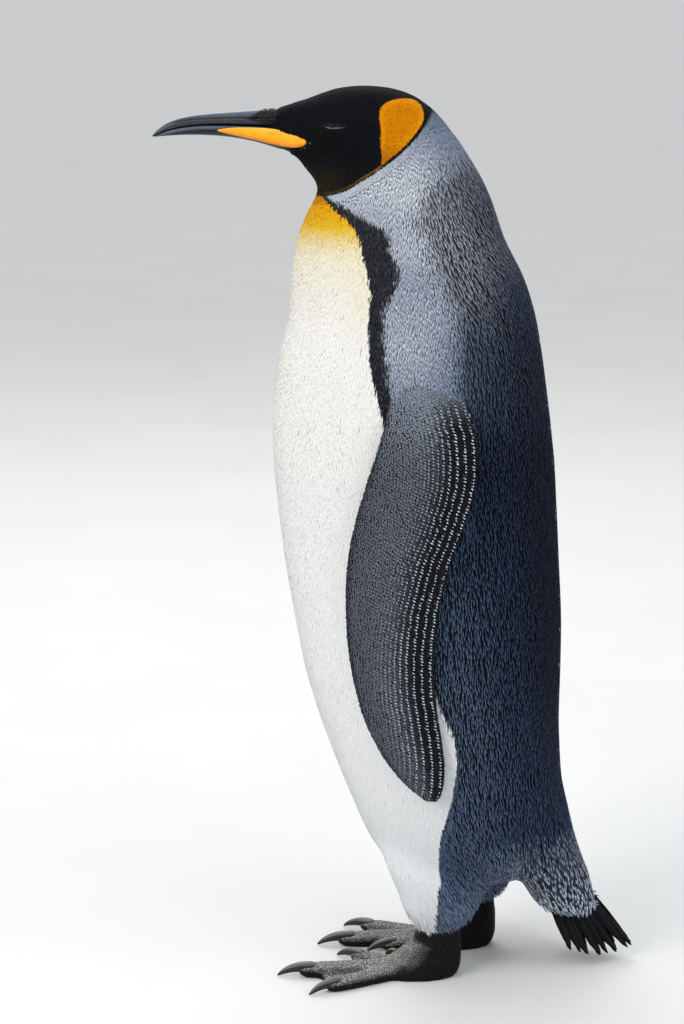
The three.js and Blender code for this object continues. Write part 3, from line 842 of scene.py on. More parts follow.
def joined_copies(name, points, pattern):
    """One mesh of many copies of a pattern's faces, and those faces. points holds each copy's corners."""
    count, corners, unused = points.shape
    faces = (pattern[None] + (np.arange(count) * corners)[:, None, None]).reshape(-1, 3)
    mesh = bpy.data.meshes.new(name)
    mesh.vertices.add(count * corners)
    mesh.vertices.foreach_set("co", points.astype(np.float32).ravel())
    mesh.loops.add(faces.size)
    mesh.loops.foreach_set("vertex_index", faces.astype(np.int32).ravel())
    mesh.polygons.add(len(faces))
    mesh.polygons.foreach_set("loop_start", np.arange(0, faces.size, 3, dtype=np.int32))
    mesh.update(calc_edges=True)
    return mesh, faces


def patch_map(mesh, spots, patch, faces):
    """Gives each copy its own small patch on a map, at its spot."""
    spots = (spots - spots.min(0)) / (spots.max(0) - spots.min(0)) * (1 - 2 * PATCH) + PATCH
    corners = (spots[:, None] + patch[None] * PATCH / 2).reshape(-1, 2)
    layer = mesh.uv_layers.new(name="OFBake")
    layer.data.foreach_set("uv", corners[faces.ravel()].astype(np.float32).ravel())


def spread_over(mesh, wanted, spacing, stretch, tries=5):
    """Roots spread evenly over the wanted faces of a mesh: places and normals. spacing is the least
    gap, or gives it at each place, and stretch is how much longer the gap is down the body."""
    corners = mesh_points(mesh)
    mesh.calc_loop_triangles()
    triangles = np.array([triangle.vertices for triangle in mesh.loop_triangles])
    one, two, three = (corners[triangles[:, part]] for part in range(3))
    normals = np.cross(two - one, three - one)
    area = np.linalg.norm(normals, axis=1) / 2
    normals /= np.maximum(2 * area, 1e-12)[:, None]
    middle = (one + two + three) / 3
    keep = wanted(middle, normals)
    gaps = spacing(middle) if callable(spacing) else np.full(len(middle), spacing)
    odds = np.where(keep, area / gaps ** 2, 0)
    count = int(odds.sum() * tries / stretch)
    chosen = RANDOM.choice(len(odds), count, p=odds / odds.sum())
    first, second = RANDOM.random(count), RANDOM.random(count)
    flip = first + second > 1
    first, second = np.where(flip, 1 - first, first), np.where(flip, 1 - second, second)
    places = one[chosen] + first[:, None] * (two - one)[chosen] + second[:, None] * (three - one)[chosen]
    squeezed = places * [1, 1, 1 / stretch]
    least = gaps[chosen]
    tree = KDTree(count)
    for index, place in enumerate(squeezed):
        tree.insert(place, index)
    tree.balance()
    free = np.ones(count, bool)
    kept = []
    for index in range(count):
        if free[index]:
            kept.append(index)
            for unused, other, gap in tree.find_range(squeezed[index], least[index]):
                free[other] = False
    return places[kept], normals[chosen][kept]


def unit(vectors):
    return vectors / np.maximum(np.linalg.norm(vectors, axis=1), 1e-12)[:, None]


def flat_to(normals, way):
    """Each way without what points along its normal."""
    return way - (way * normals).sum(1)[:, None] * normals


def turned(way, normals, angle):
    """Turns each way about its normal."""
    return way * np.cos(angle)[:, None] + np.cross(normals, way) * np.sin(angle)[:, None]


def lie_of_coat(places, normals):
    """The way each feather points: back from the bill, down the neck and trunk, out over the tail."""
    along, up, aside = side_view(places)
    level = np.zeros(len(up))
    head_dip = np.radians(np.interp(along, [-75, -40, 0, 50, 100], [8, 26, 38, 50, 66]))
    head_dip = head_dip + np.radians(26) * (1 - step_up(up, 765, 800)) * step_up(along, -70, -30)
    head = np.stack([level, np.cos(head_dip), -np.sin(head_dip)], axis=1)
    spread = (along - 60) / 225 * step_up(up, 600, 700)
    lower = 0.05 + 0.32 * (1 - step_up(up, 90, 300)) * step_up(along, 20, 140)
    trunk = unit(np.stack([level, spread + lower, level - 1], axis=1))
    way = head + (trunk - head) * step_up(-hood_depth(along, up), -4, 38)[:, None]
    return unit(flat_to(normals, way))


def body_unwrap(roots):
    """Round the body and up it."""
    along, up, aside = side_view(roots)
    middle = np.interp(up, [0, 300, 600, 840], [110, 88, 62, 20])
    return np.arctan2(aside, middle - along), up


def head_unwrap(roots):
    """Round the head and back along it."""
    along, up, aside = side_view(roots)
    return np.arctan2(aside, up - 805), along


def coat_material(name, roughness, shine, grain=(240, 240, 16)):
    """Feather: its own tone, broken by fine barbs and by faint long streaks that run down it."""
    finish = node_material(name)
    add = finish[2]
    place = add("TexCoord").outputs["Object"]
    fine = add("Mapping", {"Vector": place, "Scale": grain}).outputs[0]
    long = add("Mapping", {"Vector": place, "Scale": (170, 170, 11)}).outputs[0]
    barbs = add("TexNoise", {"Vector": fine, "Scale": 6.0, "Detail": 2.0}).outputs["Fac"]
    streaks = add("TexNoise", {"Vector": long, "Detail": 3.0}).outputs["Fac"]
    shade, drawn = (
        add("MapRange", {"Value": noise, "From Min": 0.3, "From Max": 0.7, "To Min": 0.95, "To Max": top})
        for noise, top in ((barbs, 1.05), (streaks, 1.03))
    )
    both = add("Math", {0: shade.outputs["Result"], 1: drawn.outputs["Result"]}, operation="MULTIPLY")
    return toned(finish, both.outputs[0], roughness, shine, barbs, 0.06, 0.0003)


def lay_vanes(
    name, material, roots, normals, way, length, width, depth, tones, unwrap, surface,
    shares=(0.25, 0.85), lift=0.0001, ridge=0.2, uneven=0.07, widest=0.68, free=0.0, bend=0.07,
    flat=False,
):
    """Joins one vane for each root into a piece. Each lies in the surface from its root on the skin
    to its tip. tones gives the tips' and the roots' tone, and shares how much of the tips' tone the
    edges and the ridge have. ridge is the ridge's height over half the width, widest where the
    vane is widest, and free how far it runs straight on instead of bending with the surface. bend is
    how deep its widest place lies, over depth. The flat ones are shaded face by face."""
    count = len(roots)
    length, width, depth = (np.broadcast_to(size, count) for size in (length, width, depth))
    centres = np.repeat(roots[:, None], 3, axis=1)
    ups = np.repeat(normals[:, None], 3, axis=1)
    for number, share in ((1, widest), (2, 1.0)):
        guess = roots + way * (length * share)[:, None]
        for index in range(count):
            centres[index, number], ups[index, number] = surface.find_nearest(Vector(guess[index]))[:2]
        straight = (guess - centres[:, number]) * np.reshape(free, (-1, 1))
        centres[:, number] += straight * ((straight * ups[:, number]).sum(1) > 0)[:, None]
    lifts = RANDOM.uniform(-lift, lift, count)
    for number, sink in enumerate((1.0, bend, 0.0)):
        centres[:, number] += ups[:, number] * (lifts - depth * sink)[:, None]
    sideways = unit(np.cross(centres[:, 2] - centres[:, 0], ups[:, 1]))
    reach = width[:, None] / 2 * (VANE_STATION == 1)
    points = (
        centres[:, VANE_STATION]
        + sideways[:, None] * (reach * VANE_ACROSS)[:, :, None]
        + ups[:, 1, None] * (reach * VANE_UP * np.reshape(ridge, (-1, 1)))[:, :, None]
    )
    mesh, faces = joined_copies(name, points, VANE_FACES)
    rounded_off = np.repeat(~np.broadcast_to(flat, count), len(VANE_FACES))
    mesh.polygons.foreach_set("use_smooth", rounded_off)
    tip_tones, root_tones = (np.reshape(tone, (-1, 1, 3)) for tone in tones)
    edge, middle = (np.reshape(part, (-1, 1)) for part in shares)
    share = np.where(VANE_UP > 0, middle, edge) * (VANE_STATION == 1) + (VANE_STATION == 2)
    blended = root_tones + (tip_tones - root_tones) * share[:, :, None]
    own = np.exp(RANDOM.normal(0, uneven, count))
    paint(mesh, np.clip(blended * own[:, None, None], 0, 1).reshape(-1, 3))
    patch = np.stack([VANE_ACROSS, VANE_STATION - 1.0], axis=1)
    patch_map(mesh, np.stack(unwrap(roots), axis=1), patch, faces)
    mesh.materials.append(material)
    piece = new_object(name, mesh)
    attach(piece, "root")


# Horn that the head's feathers stop at.
horn = bmesh.new()
for node in ("bill_upper", "bill_lower", "bill_plate_left", "bill_plate_right"):
    add_to(horn, loose_copy(node))
horn_tree = BVHTree.FromBMesh(horn)
horn.free()


def clear_of_horn(points, margin):
    """True where a point lies outside the horn by a margin."""
    clear = np.ones(len(points), bool)
    for index in np.nonzero(side_view(points)[0] < -20)[0]:
        found, normal, unused, gap = horn_tree.find_nearest(Vector(points[index]), 0.02)
        if found is not None:
            outside = (Vector(points[index]) - found).dot(normal) > 0
            clear[index] = outside and gap > margin
    return clear


def clear_of_slit(points):
    clear = np.ones(len(points), bool)
    for side, middle in EYE_MIDDLE.items():
        offset = (points - np.array(middle)) * 1000
        arch = np.sqrt(np.clip(1 - (offset[:, 1] / SLIT_CLEAR["across"]) ** 2, 0, 1))
        rise = offset[:, 2] - SLIT_RISE
        within = (rise < SLIT_CLEAR["over"] * arch) & (rise > -SLIT_CLEAR["under"] * arch)
        clear &= ~(within & (arch > 0) & (offset[:, 0] * SIGN[side] > 5))
    return clear


# Least gap between the head's feathers, in millimetres, along the head. It is less round the lids,
# and along the edges of the ear patch and the rim.
HEAD_GAPS = [(-75, 0.75), (-50, 0.9), (-10, 1.0), (60, 1.05)]
LID_GAPS = [(0.015, 0.65), (0.022, 1.1)]
EDGE_GAPS = [(2.0, 0.72), (5.0, 1.1)]
HEAD_LENGTH = 4.2  # times the gap
LONGEST_HEAD_FEATHER = 0.0042


def head_spacing(places):
    along, up, unused = side_view(places)
    lids = np.array([eye_near(Vector(place)) for place in places])
    gap = np.minimum(on_line(along, HEAD_GAPS), on_line(lids, LID_GAPS))
    edges = np.minimum(line_gap(along, up, GOLD_LINE), line_gap(along, up, EAR_RING))
    return np.minimum(gap, on_line(edges, EDGE_GAPS)) / 1000


def on_head(middle, normals):
    along, up, unused = side_view(middle)
    return hood_depth(along, up) > -3.0


roots, normals = spread_over(form_mesh, on_head, head_spacing, 1.0)
way = turned(lie_of_coat(roots, normals), normals, RANDOM.normal(0, 0.09, len(roots)))
gap = head_spacing(roots)
length = np.minimum(gap * HEAD_LENGTH, LONGEST_HEAD_FEATHER)
tips = roots + way * length[:, None]
stays = clear_of_horn(roots, 0.0004) & clear_of_horn(tips, 0.0002)
for places in (roots, tips, roots + way * length[:, None] * 0.5):
    stays &= clear_of_slit(places)
roots, normals, way, gap, length, tips = (
    part[stays] for part in (roots, normals, way, gap, length, tips)
)
depth = np.interp(gap, [0.0006, 0.0010], [0.0006, 0.0013])
tip_tones, root_tones = markings(tips, RANDOM.normal(0, 0.9, len(tips)))
velvet = coat_material("hood_feather", 0.55, 0.05, (300, 120, 300))
for side, members in (("left", roots[:, 0] >= 0), ("right", roots[:, 0] < 0)):
    lay_vanes(
        f"head_feathers_{side}", velvet, roots[members], normals[members], way[members],
        length[members], gap[members] * 2.0, depth[members], (tip_tones[members], root_tones[members]),
        head_unwrap, form_tree, (0.5, 0.9), 0.00005, 0.14, 0.05,
    )

WING_TOP = 596  # the flipper's own feathers reach up to here, in millimetres
WING_OVERLAP = 14
BODY_STRETCH = 2.7
TIP_CLEAR = 0.004
BODY_LENGTH = 0.0098
COARSE_LONGER = 0.0014
FRONT_LONGER = 0.0085
LENGTH_SHARES = [(45, 0.8), (80, 1.1), (160, 1.25), (260, 1.0)]
LONGEST_BELOW_HOOD = [(-2, 0.0038), (0, 0.0045), (30, 0.014)]
# How deep the body's feathers are rooted, at heights up the body, in millimetres.
ROOT_DEPTHS = [
    (45, 1.2), (60, 1.4), (100, 1.6), (200, 1.9), (620, 1.9), (700, 1.7), (760, 1.5), (790, 1.3),
]


def body_spacing(places):
    return body_grain(places)[2]


def on_body(middle, normals):
    along, up, unused = side_view(middle)
    on_foot = (gap_to(foot_trees, middle, 0.003) < 0.0006) & (up < FOOT_TOP)
    on_wing = (gap_to(flipper_trees, middle, 0.003) < 0.0004) & (up < WING_TOP - WING_OVERLAP)
    return (hood_depth(along, up) < 1.0) & ~on_wing & ~on_foot


roots, normals = spread_over(form_mesh, on_body, body_spacing, BODY_STRETCH)
way = lie_of_coat(roots, normals)
along, up, aside = side_view(roots)
coarse, front, gap = body_grain(roots)
way = turned(way, normals, RANDOM.normal(0, 1, len(roots)) * (0.08 - 0.055 * front))
width = gap * (1.25 + 0.85 * (1 - coarse) - 0.15 * front)
length = (BODY_LENGTH + COARSE_LONGER * coarse + FRONT_LONGER * front) * on_line(up, LENGTH_SHARES)
length = np.minimum(length, on_line(-hood_depth(along, up), LONGEST_BELOW_HOOD))
tips = roots + way * length[:, None]
stays = tips[:, 2] > TIP_CLEAR
roots, normals, way, width, length, tips = (
    part[stays] for part in (roots, normals, way, width, length, tips)
)
along, up, aside = side_view(roots)
coarse, front, unused = body_grain(tips)
depth = on_line(up, ROOT_DEPTHS) / 1000 * (1 - 0.45 * front)
shares = (0.6 - 0.6 * coarse + 0.3 * front, 0.9 - 0.65 * coarse + 0.1 * front)
ridge = 0.09 + 0.16 * coarse - 0.07 * front
uneven = 0.05 + 0.12 * coarse - 0.04 * front
widest = 0.5 + 0.18 * coarse + 0.22 * front
bend = 0.07 + 0.26 * (1 - coarse) * (1 - 0.6 * front)
tip_tones, root_tones = coat_tones(tips, RANDOM.normal(0, 1.1, len(tips)))
# Tips low under the rump are darkened as painted shade.
under_rump_shade = (1 - step_up(up, 90, 160)) * step_up(along, 150, 185)
tip_tones *= (1 - 0.65 * under_rump_shade)[:, None]
uneven += 0.25 * (1 - coarse) * (tip_tones.sum(1) < 0.16)
slate = coat_material("body_feather", 0.6, 0.06)
for region, slot, low, high in (
    ("neck", "neck_feathers", 660, np.inf),
    ("shoulder", "body_feathers", 480, 660),
    ("trunk", "body_feathers", 260, 480),
    ("rump", "body_feathers", 0, 260),
):
    for side, half in (("left", roots[:, 0] >= 0), ("right", roots[:, 0] < 0)):
        members = (up >= low) & (up < high) & half
        lay_vanes(
            f"{region}_feathers_{side}", slate, roots[members], normals[members], way[members],
            length[members], width[members], depth[members], (tip_tones[members], root_tones[members]),
            body_unwrap, form_tree, [share[members] for share in shares], 0.00003, ridge[members],
            uneven[members], widest[members], 0.0, bend[members], front[members] > 0.5,
        )


# ---------------------------------------------------------------- leg and tail feathers
# Long soft feathers hang down the legs and end in a fringe over the feet. Stiffer ones with pale
# points, each row shorter than the next, cover the roots of the tail.

LEG_GAP = 0.0014
LEG_TOP = 128
LEG_LENGTHS = (0.011, 0.021)
LEG_WIDTHS = (0.0009, 0.0014)
LEG_DEPTH = 0.0012
FRINGE = (0.036, 0.046)  # the lowest tips end between these heights
FRINGE_RIM = 0.062
COVERT_GAP = 0.0025
COVERT_TOP = 172
COVERT_DEPTH = 0.0018
COVERT_TONES = ((190, 200, 215), (10, 13, 19))


def on_leg(middle, normals):
    along, up, aside = side_view(middle)
    along_leg = along - np.where(aside < 0, STRIDE, 0)
    on_foot = (gap_to(foot_trees, middle, 0.003) < 0.0006) & (up < FOOT_TOP + 1)
    return (up < LEG_TOP) & (along_leg < 150) & (along_leg > 20) & ~on_foot & (np.abs(aside) > 6)


def on_covert(middle, normals):
    along, up, aside = side_view(middle)
    return (up < COVERT_TOP) & (along > 160) & (up > on_line(along, TAIL_LINE) - 3)


roots, normals = spread_over(form_mesh, on_leg, LEG_GAP, 2.2)
along, up, aside = side_view(roots)
swing = np.interp(beside_left(along, up, aside), [60, 110], [0.0, 0.42])
down = np.stack([np.zeros(len(up)), swing, np.full(len(up), -0.2)], axis=1)
way = unit(flat_to(normals, unit(lie_of_coat(roots, normals) + down)))
way = turned(way, normals, RANDOM.normal(0, 0.12, len(roots)))
length = RANDOM.uniform(*LEG_LENGTHS, len(roots))
tips = roots + way * length[:, None]
stays = tips[:, 2] > RANDOM.uniform(*FRINGE, len(tips))
upper_limit = LEG_TOP - 22 * body_grain(tips)[1]
stays &= RANDOM.random(len(tips)) < step_up(upper_limit - up, 0, 50)
roots, normals, way, length, tips = (part[stays] for part in (roots, normals, way, length, tips))
loose = step_up(90 - roots[:, 2] * 1000, 0, 30)
front = body_grain(tips)[1]
# below the rim of the shanks' feathers the markings run on as they are at the rim
rim_places = np.column_stack([tips[:, :2], np.maximum(tips[:, 2], FRINGE_RIM)])
tip_tones, root_tones = markings(rim_places, RANDOM.normal(0, 2.0, len(tips)))
tip_tones = np.clip(tip_tones * (1.25 - 0.32 * front)[:, None], 0, 1)
leg_down = coat_material("leg_feather", 0.65, 0.06)
for side, members in (("left", roots[:, 0] >= 0), ("right", roots[:, 0] < 0)):
    lay_vanes(
        f"leg_feathers_{side}", leg_down, roots[members] + normals[members] * 0.0002,
        normals[members], way[members], length[members], RANDOM.uniform(*LEG_WIDTHS, members.sum()),
        LEG_DEPTH, (tip_tones[members], root_tones[members]), body_unwrap, form_tree,
        (0.1 + 0.8 * front[members], 0.5 + 0.5 * front[members]), 0.0002, 0.12, 0.10, 0.6,
        0.85 * loose[members], flat=front[members] > 0.5,
    )

roots, normals = spread_over(form_mesh, on_covert, COVERT_GAP, 2.0)
stays = RANDOM.random(len(roots)) < step_up(COVERT_TOP - side_view(roots)[1], 0, 50)
roots, normals = roots[stays], normals[stays]
way = turned(lie_of_coat(roots, normals), normals, RANDOM.normal(0, 0.10, len(roots)))
along, up, aside = side_view(roots)
low = 1 - step_up(up, 70, 150)
length = (0.011 + 0.008 * low) * RANDOM.uniform(0.85, 1.15, len(up))
rim_gap = up - np.maximum(on_line(along, TAIL_LINE), TAIL_CUT * 1000)
uneven_pale = RANDOM.uniform(0.75, 1.15, len(up))
tip_tones = np.array(linear(*COVERT_TONES[0])) * (0.4 + 0.7 * low)[:, None] * uneven_pale[:, None]
lay_vanes(
    "tail_coverts", slate, roots, normals, way, length, 0.0024 + 0.0006 * low,
    COVERT_DEPTH, (np.clip(tip_tones, 0, 1), linear(*COVERT_TONES[1])), body_unwrap, form_tree,
    (0.12, 0.85), 0.0002, 0.3, 0.05, 0.68, 0.7 * (1 - step_up(rim_gap, 6, 22)),
)


# ---------------------------------------------------------------- flipper feathers
# Scale-like feathers, slate outside and white inside. Towards the trailing edge the outer ones are
# black, and lines of pale dashes run down them. A thin pale rim ends them.

# Gap between each line of dashes and the next, from the trailing edge on, in millimetres.
DASH_GAPS = (1.0, 5.6, 7.6, 7.4, 6.6, 5.6, 4.8, 4.2, 3.8, 3.4, 3.2, 3.0) + (2.8,) * 22
DASH_PITCH = 2.9
DASH_SPAN = (200, 600)
DASH_LENGTH = 0.0056
DASH_WIDTH = 0.0019
DASH_DEPTH = 0.0009
DASH_LIFT = 0.00022
# How strong and how large the dashes are, at distances from the trailing edge, and how strong by the
# room left to the leading edge.
DASH_STRENGTHS = [(0, 0.6), (2, 0.6), (6, 1.0), (30, 0.85), (52, 0.5), (95, 0.34)]
DASH_SIZES = [(0, 0.6), (4, 1.0), (30, 0.95), (60, 0.62)]
DASH_ROOM = [(6, 0.4), (25, 1)]
SHORT_GAP = 0.00135
SHORT_LENGTH = 0.0062
SHORT_WIDTH = 0.0022
SHORT_DEPTH = 0.0010
WING_ROOT = 380  # above this height the flipper may lie in the body
# The turn of the feathers, in degrees, from the leading edge, 0, to the trailing edge, 1.
SHORT_TURN = [(0, 8), (0.35, 24), (0.8, 40), (1.0, 44)]
FLIPPER_SLATE = ((94, 101, 112), (22, 24, 29))
FLIPPER_LIGHT = ((138, 148, 160), (70, 78, 89))
FLIPPER_BLACK = ((20, 21, 26), (6, 6, 9))
DASH_TONE = (196, 203, 212)
LINING = ((226, 229, 232), (196, 201, 208))


def edge_lines(side):
    """Heights in the flipper with its leading and trailing edge at each."""
    along, up, unused = side_view(mesh_points(flipper_meshes[side]))
    steps = np.arange(up.min() + 1, up.max(), 5.0)
    lead = [along[np.abs(up - step) < 6].min() for step in steps]
    trail = [along[np.abs(up - step) < 6].max() for step in steps]
    return steps, np.array(lead), np.array(trail)


def flipper_unwrap(inner):
    """Outer face beside inner face, and up the flipper."""

    def unwrap(roots):
        along, up, aside = side_view(roots)
        return along + 150.0 * inner, up

    return unwrap


def flipper_way(along, up, edges, normals):
    steps, lead, trail = edges
    share = (along - np.interp(up, steps, lead)) / np.maximum(np.interp(up, steps, trail - lead), 5)
    edge_slope = np.interp(up, steps, np.gradient(trail, steps))
    angle = np.radians(on_line(share, SHORT_TURN)) - np.arctan(edge_slope) * 0.5
    angle *= 1 - 0.6 * step_up(up, 540, 600)
    return unit(flat_to(normals, np.stack([np.zeros(len(up)), np.sin(angle), -np.cos(angle)], axis=1)))


def outside_body(middle, normals):
    up = middle[:, 2] * 1000
    inside = np.zeros(len(middle), bool)
    for index in np.nonzero(up > WING_ROOT)[0]:
        found, normal, unused, gap = body_tree.find_nearest(Vector(middle[index]))
        inside[index] = (Vector(middle[index]) - found).dot(normal) < 0.0008
    return (up < WING_TOP) & ~inside


def dash_places(tree, edges, sign):
    """Lines of dashes on the outer face, each line as far from the trailing edge as the last allows.
    Their places and normals, and how strong and how large each dash is."""
    steps, lead, trail = edges
    dashes = []
    low, high = DASH_SPAN
    for number, offset in enumerate(np.cumsum(DASH_GAPS)):
        for height in np.arange(low + (number % 2) * DASH_PITCH / 2, high, DASH_PITCH):
            turn_in = 60 * step_up(height, 572, 606) ** 1.5
            spot = np.interp(height, steps, trail) - offset - turn_in - RANDOM.normal(0, 0.12)
            height += RANDOM.normal(0, 0.15)
            room = spot - np.interp(height, steps, lead)
            if room < DASH_ROOM[0][0]:
                continue
            start, inward = place_of(sign * 250, spot, height), Vector((-sign, 0, 0))
            found, normal, unused, gap = tree.ray_cast(start, inward)
            if found is None or body_tree.ray_cast(start, inward)[3] < gap:
                continue
            strength = on_line(offset, DASH_STRENGTHS) * (1 - 0.85 * step_up(height, 556, 598))
            strength *= on_line(room, DASH_ROOM)
            dashes.append((found, normal, strength, on_line(offset, DASH_SIZES)))
    return (np.array(part, float) for part in zip(*dashes))


flipper_down = coat_material("flipper_feather", 0.5, 0.12)
for side, tree in zip(("left", "right"), flipper_trees):
    sign = SIGN[side]
    edges = edge_lines(side)
    steps, lead, trail = edges
    roots, normals = spread_over(flipper_meshes[side], outside_body, SHORT_GAP, 1.5)
    along, up, aside = side_view(roots)
    outer = normals[:, 0] * sign > 0
    way = turned(flipper_way(along, up, edges, normals), normals, RANDOM.normal(0, 0.06, len(roots)))
    tip_along, tip_up, unused = side_view(roots + way * SHORT_LENGTH)
    offset = np.interp(tip_up, steps, trail) - tip_along
    share = 1 - offset / np.maximum(np.interp(tip_up, steps, trail - lead), 5)
    light = step_up(tip_up, 490, 600) ** 1.5 * (1 - 0.55 * step_up(share, 0.5, 0.9))
    darker = np.clip((1 - step_up(share, 0.0, 0.08)) * 0.7 + step_up(share, 0.42, 0.8), 0, 1)
    darker *= 1 - 0.9 * step_up(tip_up, 548, 590)
    white = step_up(share, 0.05, 0.14) * (1 - step_up(share, 0.86, 0.97)) * step_up(tip_up, 218, 240)
    tones = []
    for end in (0, 1):
        dark, pale, black, lining = (
            linear(*pair[end]) for pair in (FLIPPER_SLATE, FLIPPER_LIGHT, FLIPPER_BLACK, LINING)
        )
        outer_tones = mixed(mixed(dark, pale, light), black, darker)
        tones.append(np.where(outer[:, None], outer_tones, mixed(black, lining, white)))
    lay_vanes(
        f"flipper_feathers_{side}", flipper_down, roots, normals, way, SHORT_LENGTH,
        SHORT_WIDTH, SHORT_DEPTH, tones, flipper_unwrap(~outer), tree, (0.2, 0.8), 0.00006,
    )

    # the dashes lie on these feathers
    roots, normals, strength, sizes = dash_places(tree, edges, sign)
    along, up, aside = side_view(roots)
    slant = 0.42 * sign + RANDOM.normal(0, 0.05, len(roots))
    way = turned(flipper_way(along, up, edges, normals), normals, slant)
    dash_tips = mixed(linear(*FLIPPER_SLATE[1]), linear(*DASH_TONE), strength)
    dash_roots = mixed(linear(*FLIPPER_BLACK[1]), linear(*DASH_TONE), strength * 0.1)
    lay_vanes(
        f"flipper_dashes_{side}", flipper_down, roots + normals * DASH_LIFT, normals,
        way, DASH_LENGTH * sizes, DASH_WIDTH * sizes, DASH_DEPTH, (dash_tips, dash_roots),
        flipper_unwrap(0), tree, (0.7, 1.0), 0.00003,
    )


# ---------------------------------------------------------------- tail quills
# Twenty-four long stiff feathers in a fan under the coverts. Each is a tapering blade, dished along
# a round shaft, black with a faint olive sheen painted into its colour, and frayed where it brushes the
# floor.

TAIL_PAIRS = 12
# Tips and roots of the innermost and the outermost quill: across, along and up, in millimetres.
TAIL_TIPS = (Vector((4, 286, 15)), Vector((40, 219, 26)))
TAIL_ROOTS = (Vector((4, 232, 79)), Vector((28, 204, 75)))
TAIL_DROOP = 8.5
TIP_UNEVEN = 3
QUILL_HALF = 0.0065
QUILL_THICK = 0.0007
QUILL_STEPS = 22
QUILL_DISH = 0.0011
SHAFT_RISE = 0.0006
FRAY = 0.0004
QUILL_LAYER = 0.00012  # each quill lies this much over the one inside it
FLOOR_CLEAR = 0.0022
# The gloss tone is a painted sheen, put into the colour.
QUILL_TONES = {"shaft": (22, 22, 27), "vane": (3, 3, 4), "gloss": (14, 16, 11)}

quills = bmesh.new()
quill_layer = quills.verts.layers.float_color.new("tone")
quill_map = quills.loops.layers.uv.new("quill")
shaft_tone, vane_tone, gloss_tone = (Vector(linear(*tone)) for tone in QUILL_TONES.values())
for sign in (1, -1):
    for pair in range(TAIL_PAIRS):
        share = pair / (TAIL_PAIRS - 1)
        tip = TAIL_TIPS[0].lerp(TAIL_TIPS[1], share)
        tip.z -= TAIL_DROOP * math.sin(share * math.pi)
        tip.y += TIP_UNEVEN * math.sin(pair * 2.4)
        root = TAIL_ROOTS[0].lerp(TAIL_ROOTS[1], share)
        tip, root, inmost, outmost = (
            place_of(sign * place.x, place.y, place.z) for place in (tip, root, *TAIL_TIPS)
        )
        ahead = (tip - root).normalized()
        through = ahead.cross((inmost - outmost).normalized()).normalized()
        across = through.cross(ahead).normalized()
        if through.y < 0:
            through = -through
        reach = (tip - root).length
        blade = bmesh.ops.create_grid(quills, x_segments=QUILL_STEPS, y_segments=6, size=0.5)["verts"]
        for vert in blade:
            run, side_share = vert.co.x + 0.5, vert.co.y * 2
            width = QUILL_HALF * (0.55 + 0.45 * math.sin(math.pi * min(run * 1.15, 1) ** 0.8))
            width *= 1 - 0.8 * max((run - 0.8) / 0.2, 0) ** 2
            fray = FRAY * math.sin(run * 37 + pair * 2.1)
            fray *= step_up(abs(side_share), 0.7, 1) * step_up(run, 0.5, 1)
            dish = -QUILL_DISH * side_share ** 2 + SHAFT_RISE * math.exp(-(side_share / 0.22) ** 2)
            place = root + ahead * (reach * run) + across * (side_share * width + float(fray))
            vert.co = place + through * (dish + QUILL_LAYER * pair)
            vert.co.z = max(vert.co.z, FLOOR_CLEAR)
            shaft = math.exp(-(side_share / 0.2) ** 2)
            # The olive gloss towards the end is painted into the colour as a painted sheen.
            gloss = float(step_up(run, 0.55, 1.0)) * 0.5 * (1 - shaft) * abs(side_share)
            tone = vane_tone.lerp(shaft_tone, shaft).lerp(gloss_tone, gloss)
            vert[quill_layer] = (*tone, 1)
            for loop in vert.link_loops:
                loop[quill_map].uv = (run, side_share)
bmesh.ops.recalc_face_normals(quills, faces=quills.faces)
bmesh.ops.solidify(quills, geom=quills.faces[:], thickness=QUILL_THICK)
quill_mesh = mesh_from("tail_quills", quills)
shade_smooth(quill_mesh)
quill_finish = node_material("tail_quill")
add = quill_finish[2]
over_quill = add("UVMap", uv_map="quill").outputs["UV"]
spread = add("Mapping", {"Vector": over_quill, "Scale": (9, 3, 1), "Rotation": (0, 0, 0.5)}).outputs[0]
barbs = add("TexWave", {"Vector": spread, "Scale": 5.0, "Distortion": 1.5, "Detail": 2.0}).outputs["Fac"]
shade = add("MapRange", {"Value": barbs, "To Min": 0.72, "To Max": 1.25}).outputs["Result"]
quill_mesh.materials.append(toned(quill_finish, shade, 0.55, 0.08, barbs, 0.35, 0.0004))
quill_piece = new_object("tail_quills", quill_mesh)
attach(quill_piece, "root")


# ---------------------------------------------------------------- eyes
# Wet balls set in the head behind the lids: a dark brown iris round a wide pupil, a near-black
# white of the eye, and a clear cornea that bulges a little.

IRIS_REACH = 0.0062
PUPIL_REACH = 0.0032
EYE_SPAN = 0.011  # the eye's ring of tones is drawn out to here
RING_BLUR = 0.08
EYE_SINK = 0.0004  # the ball keeps clear of the lids by this much
CORNEA_RISE = 0.0006
CORNEA_REACH = 0.005
EYE_TONES = {"pupil": (5, 4, 4), "iris": (58, 24, 16), "iris_rim": (28, 12, 9), "white": (26, 14, 12)}

